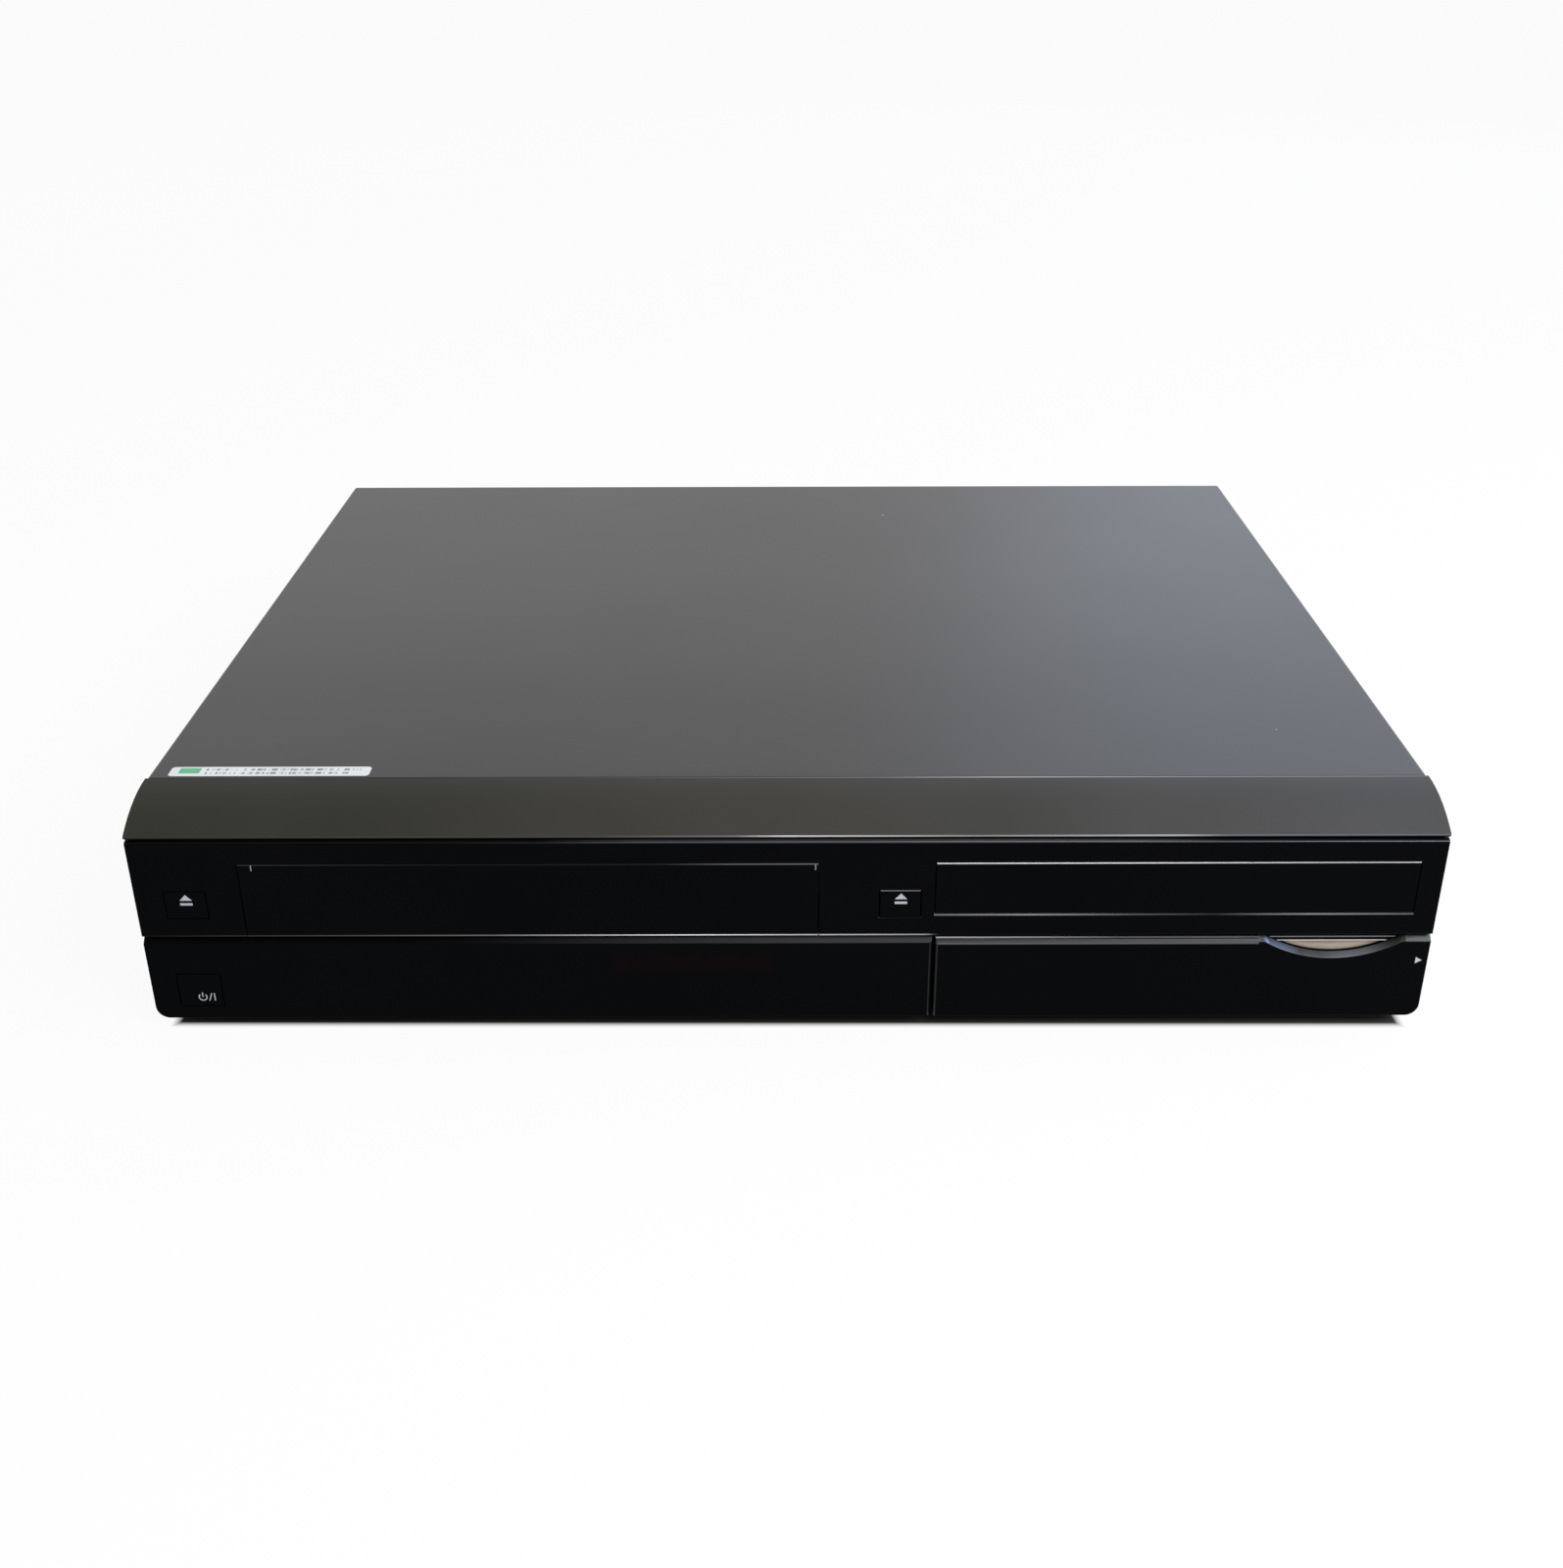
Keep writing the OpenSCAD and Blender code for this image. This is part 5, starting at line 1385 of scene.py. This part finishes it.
    def steps(self) -> Steps:
        """Gives the methods that build the front's own pieces, in order."""
        return self.shells, self.tray_front, self.pull_scoop, self.marks, self.hinge_tips, self.sockets


@dataclass
class TapeDeck(SubAssembly):
    """Deck plate, cassette lift, head drum, tape guides, capstan and reels."""

    title: str = "tape deck"
    dressed: Dressing = (
        (ZINC_STEEL, ("deck_plate", "cassette_guide_frame", "cassette_carriage", "cassette_holder", "pinch_arm")),
        (DIE_CAST, ("drum_base",)),
        (TURNED_METAL, ("head_drum",)),
        (STEEL_PIN, ("capstan", "supply_guide_carriage", "takeup_guide_carriage")),
        (NICKEL_PLATE, ("erase_head", "audio_head")),
        (COPPER_COIL, ("capstan_motor",)),
        (RUBBER, ("pinch_roller",)),
        (WHITE_ACETAL, ("supply_reel", "takeup_reel")),
    )
    drum_centre: Pair = (-84.6 * MM, 216 * MM)
    drum_radius: float = 31 * MM
    tip_inset: float = 0.5 * MM
    tip_drop: float = 2.0 * MM
    tip_half: Point = (0.7 * MM, 0.6 * MM, 1.0 * MM)

    def head_tips(self) -> None:
        """Sets two dark ferrite tips in the lower rim of the upper drum."""
        low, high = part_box("head_drum")
        half = Vector(self.tip_half)
        for name, side in (("left", -1), ("right", 1)):
            x = self.drum_centre[0] + side * (self.drum_radius - self.tip_inset)
            middle = Vector((x, FRONT_Y + self.drum_centre[1], (low[2] + high[2]) / 2 - self.tip_drop))
            tip = block(f"head_tip_{name}", middle - half, middle + half)
            soften(tip, 0.15)
            self.add(tip, "head_drum", MATT_BLACK, "black_plastic")

    def steps(self) -> Steps:
        """Gives the method that builds the deck's own pieces."""
        return (self.head_tips,)


@dataclass
class DiscDrive(SubAssembly):
    """Drive case, tray, traverse, turntable, pickup and the tray's gears."""

    title: str = "disc drive"
    dressed: Dressing = (
        (ZINC_STEEL, ("drive_case", "drive_lid", "traverse_frame")),
        (DRIVE_BLACK, ("disc_tray", "clamp_puck", "pickup_sled", "turntable")),
        (STEEL_PIN, ("lead_screw",)),
        (WHITE_ACETAL, ("tray_drive_gear", "tray_motor_pinion")),
        (TINPLATE, ("tray_motor",)),
    )
    spindle: Pair = (128 * MM, 72 * MM)
    lens_depth: float = 97 * MM
    lens_radius: float = 2.4 * MM
    lens_z: Pair = (-1.0 * MM, -0.15 * MM)
    mat_drop: float = 2.0 * MM
    mat_size: tuple[float, float, float] = (9.5 * MM, 14.2 * MM, 0.3 * MM)

    def lens(self) -> None:
        """Sets the objective lens in the pickup: a dome cut from a sphere."""
        x, y, r = self.spindle[0], FRONT_Y + self.lens_depth, self.lens_radius
        low_z, high_z = (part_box("pickup_sled")[1][2] + drop for drop in self.lens_z)
        bpy.ops.mesh.primitive_uv_sphere_add(segments=32, ring_count=16, radius=r)
        dome = named("pickup_lens")
        pick(dome)
        bpy.ops.mesh.bisect(plane_co=(0, 0, r / 2), plane_no=(0, 0, 1), clear_inner=True, use_fill=True)
        leave_edit()
        fit(dome, (x - r, y - r, low_z), (x + r, y + r, high_z))
        soften(dome, 0.0)
        self.add(dome, "pickup_sled", LENS_GLASS, "dark_glass")

    def disc_mat(self) -> None:
        """Lays the rubber ring that grips the disc on the turntable."""
        centre = (self.spindle[0], FRONT_Y + self.spindle[1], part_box("turntable")[1][2] - self.mat_drop)
        mat = ring("turntable_mat", centre, *self.mat_size, upright=True)
        soften(mat, 0.1)
        self.add(mat, "turntable", RUBBER, "black_rubber")

    def steps(self) -> Steps:
        """Gives the methods that build the drive's own pieces, in order."""
        return self.lens, self.disc_mat


@dataclass
class Electronics(SubAssembly):
    """Boards, hard disk, tuner, fan, cables and the sockets at the back.

    Attributes:
        columns: X of the columns of phono sockets, in millimetres, which also name their rings.
        rows: for each row its colour's name, its finish and its height.
        ring_depth: where the rings sit, behind the front face.
        collar_size: inner and outer radius and length of a ring.
    """

    title: str = "electronics"
    dressed: Dressing = (
        (GREEN_BOARD, ("main_board",)),
        (TAN_BOARD, ("power_board",)),
        (DIE_CAST, ("hard_disk",)),
        (ZINC_STEEL, ("hard_disk_bracket",)),
        (TINPLATE, ("tuner_module", "rear_digital_sockets")),
        (GOLD_PLATE, ("rear_av_sockets",)),
        (MATT_BLACK, ("mains_inlet", "fan_frame", "fan_rotor")),
        (FLAT_CABLE, ("ribbon_cables",)),
    )
    columns: tuple[float, ...] = (68.2, 82.2, 96.2, 110.2)
    rows: tuple[tuple[str, Finish, float], ...] = (
        ("red", RING_RED, 24 * MM),
        ("white", RING_WHITE, 38 * MM),
        ("yellow", RING_YELLOW, 52 * MM),
    )
    ring_depth: float = 345.6 * MM
    collar_size: tuple[float, float, float] = (4.25 * MM, 5.9 * MM, 1.3 * MM)

    def socket_rings(self) -> None:
        """Puts a coloured ring round each phono socket: sound below, picture on top."""
        first = self.columns[0]
        collars: dict[str, Obj] = {}
        for tone, finish, z in self.rows:
            centre = (first * MM, FRONT_Y + self.ring_depth, z)
            collars[tone] = ring(f"rear_ring_{tone}_{first:.0f}", centre, *self.collar_size)
            soften(collars[tone], 0.2)
            self.add(collars[tone], "case", finish, "white_plastic")
        for x in self.columns[1:]:
            move = Matrix.Translation(((x - first) * MM, 0.0, 0.0))
            for tone, finish, _ in self.rows:
                self.add(twin(collars[tone], f"rear_ring_{tone}_{x:.0f}", move), "case", finish, "white_plastic")

    def steps(self) -> Steps:
        """Gives the method that builds the group's own pieces."""
        return (self.socket_rings,)


@dataclass(frozen=True)
class Lamp:
    """A soft rectangular lamp.

    Attributes:
        name: its name.
        place: where it hangs, in metres.
        target: the point that it is turned to.
        size: its width and height.
        watts: its power.
        colour: the colour of its light, sRGB hex.
    """

    name: str
    place: Point
    target: Point
    size: Pair
    watts: float
    colour: str


@dataclass
class Studio:
    """Floor, background, lamps and camera.

    Attributes:
        camera_place: where the camera stands, in metres.
        camera_turns: pitch about X, roll about the line of sight and yaw about Z, in degrees.
        lens_mm: focal length on a sensor 36 mm across its longer side.
        shift: sideways shift of the lens, as a share of the longer side.
        shade_half: half the width and half the depth of the floor under the recorder, in real shade and painted dark
            grey as a painted shadow, in metres.
        shade_edge: width of that shade's soft edge.
        shade_skew: how much further forwards it reaches for each metre to the right.
        lamps: the lamps.
    """

    camera_place: Point = (0.0005, -0.6748, 0.3485)
    camera_turns: Point = (62.923, -0.154, 0.049)
    lens_mm: float = 40.32
    shift: float = -0.0034
    shade_half: Pair = (0.209, 0.1735)
    shade_edge: float = 0.0032
    shade_skew: float = 0.005
    lamps: tuple[Lamp, ...] = (
        Lamp("key_lamp", (0.85, -0.85, 0.95), (0.05, -0.1, 0.05), (0.8, 0.55), 14.0, "#fffdf8"),
        Lamp("ceiling_lamp", (0.95, 0.0, 1.15), (0.1, 0.0, 0.08), (0.5, 0.9), 4.0, "#f4f6ff"),
        Lamp("cool_back_lamp", (1.3, 1.8, 1.1), (0.1, 0.0, 0.08), (2.2, 1.4), 11.0, "#c6ddff"),
    )

    def camera(self) -> None:
        """Adds the camera."""
        data = bpy.data.cameras.new("camera")
        data.lens = self.lens_mm
        data.sensor_width = 36.0
        data.sensor_fit = "AUTO"
        data.shift_x = self.shift
        data.clip_start = 0.01
        obj = bpy.data.objects.new("camera", data)
        obj.location = self.camera_place
        pitch, roll, yaw = (math.radians(turn) for turn in self.camera_turns)
        turned = Matrix.Rotation(yaw, 3, "Z") @ Matrix.Rotation(pitch, 3, "X") @ Matrix.Rotation(roll, 3, "Z")
        obj.rotation_euler = turned.to_euler()
        bpy.context.collection.objects.link(obj)
        bpy.context.scene.camera = obj

    def light(self) -> None:
        """Adds the soft rectangular lamps."""
        for lamp in self.lamps:
            data = bpy.data.lights.new(lamp.name, "AREA")
            data.shape = "RECTANGLE"
            data.size, data.size_y = lamp.size
            data.energy = lamp.watts
            data.color = linear(lamp.colour)[:3]
            obj = bpy.data.objects.new(lamp.name, data)
            obj.location = lamp.place
            obj.rotation_euler = (Vector(lamp.target) - Vector(lamp.place)).to_track_quat("-Z", "Y").to_euler()
            bpy.context.collection.objects.link(obj)

    def seen(self, graph: Graph) -> Signal:
        """Masks the rays that see the background: camera, glossy and transmission rays.

        Args:
            graph: the graph of the floor or the world.

        Returns:
            1 for those rays and 0 for the others.
        """
        path = graph.add("LightPath").outputs
        both = graph.add("Math", {0: path["Is Camera Ray"], 1: path["Is Glossy Ray"]}, operation="MAXIMUM")
        return graph.add("Math", {0: both, 1: path["Is Transmission Ray"]}, operation="MAXIMUM")

    def floor(self) -> None:
        """Lays a wide pale floor that shows as white and keeps the object's shadow, with a painted shadow under the
        recorder.
        """
        bpy.ops.mesh.primitive_plane_add(size=40.0)
        obj = named("floor")
        material = bpy.data.materials.new("matt_white_paper_floor")
        graph = Graph(material)
        # the white fades out under the recorder, where the floor keeps its real shade and is painted dark grey as
        # well, a painted shadow that reaches further forwards at the right
        skewed = graph.add("Math", {0: graph.axes[0], 1: self.shade_skew, 2: graph.axes[1]}, operation="MULTIPLY_ADD")
        away = []
        for place, half in zip((graph.axes[0], skewed), self.shade_half):
            reach = graph.add("Math", {0: place}, operation="ABSOLUTE")
            away.append(graph.add("MapRange", {0: reach, 1: half, 2: half + self.shade_edge}))
        far = graph.add("Math", {0: away[0], 1: away[1]}, operation="MAXIMUM")
        # painted shadow: the paper's own colour is dark grey under the recorder
        paper = graph.add("BsdfDiffuse", {0: graph.add("Mix", {0: far, 6: "#4a4a4a", 7: "#f7f7f7"})})
        bright = graph.add("Math", {0: far, 1: 0.93}, operation="MULTIPLY")
        share = graph.add("Math", {0: self.seen(graph), 1: bright}, operation="MULTIPLY")
        white = graph.add("Emission", {0: "#ffffff", 1: 1.0})
        graph.add("OutputMaterial", {0: graph.add("MixShader", {0: share, 1: paper, 2: white})})
        obj.data.materials.append(material)

    def background(self) -> None:
        """Lights the object evenly from the world, and shows white behind it."""
        world = bpy.data.worlds.new("studio")
        bpy.context.scene.world = world
        graph = Graph(world)
        soft = graph.add("Background", {0: "#fbfaf8", 1: 0.5})
        white = graph.add("Background", {0: "#ffffff", 1: 1.0})
        graph.add("OutputWorld", {0: graph.add("MixShader", {0: self.seen(graph), 1: soft, 2: white})})

    def build(self) -> None:
        """Builds the studio."""
        bpy.context.scene.view_settings.view_transform = "Standard"
        self.camera()
        self.floor()
        self.background()
        self.light()


def main() -> None:
    """Builds the studio and each sub-assembly in order."""
    logging.basicConfig(level=logging.INFO, format="%(name)s: %(message)s")
    Studio().build()
    for part in (Casing(), FrontPanel(), TapeDeck(), DiscDrive(), Electronics()):
        part.build()
        LOG.info("%s is ready", part.title)


if __name__ == "__main__":
    main()
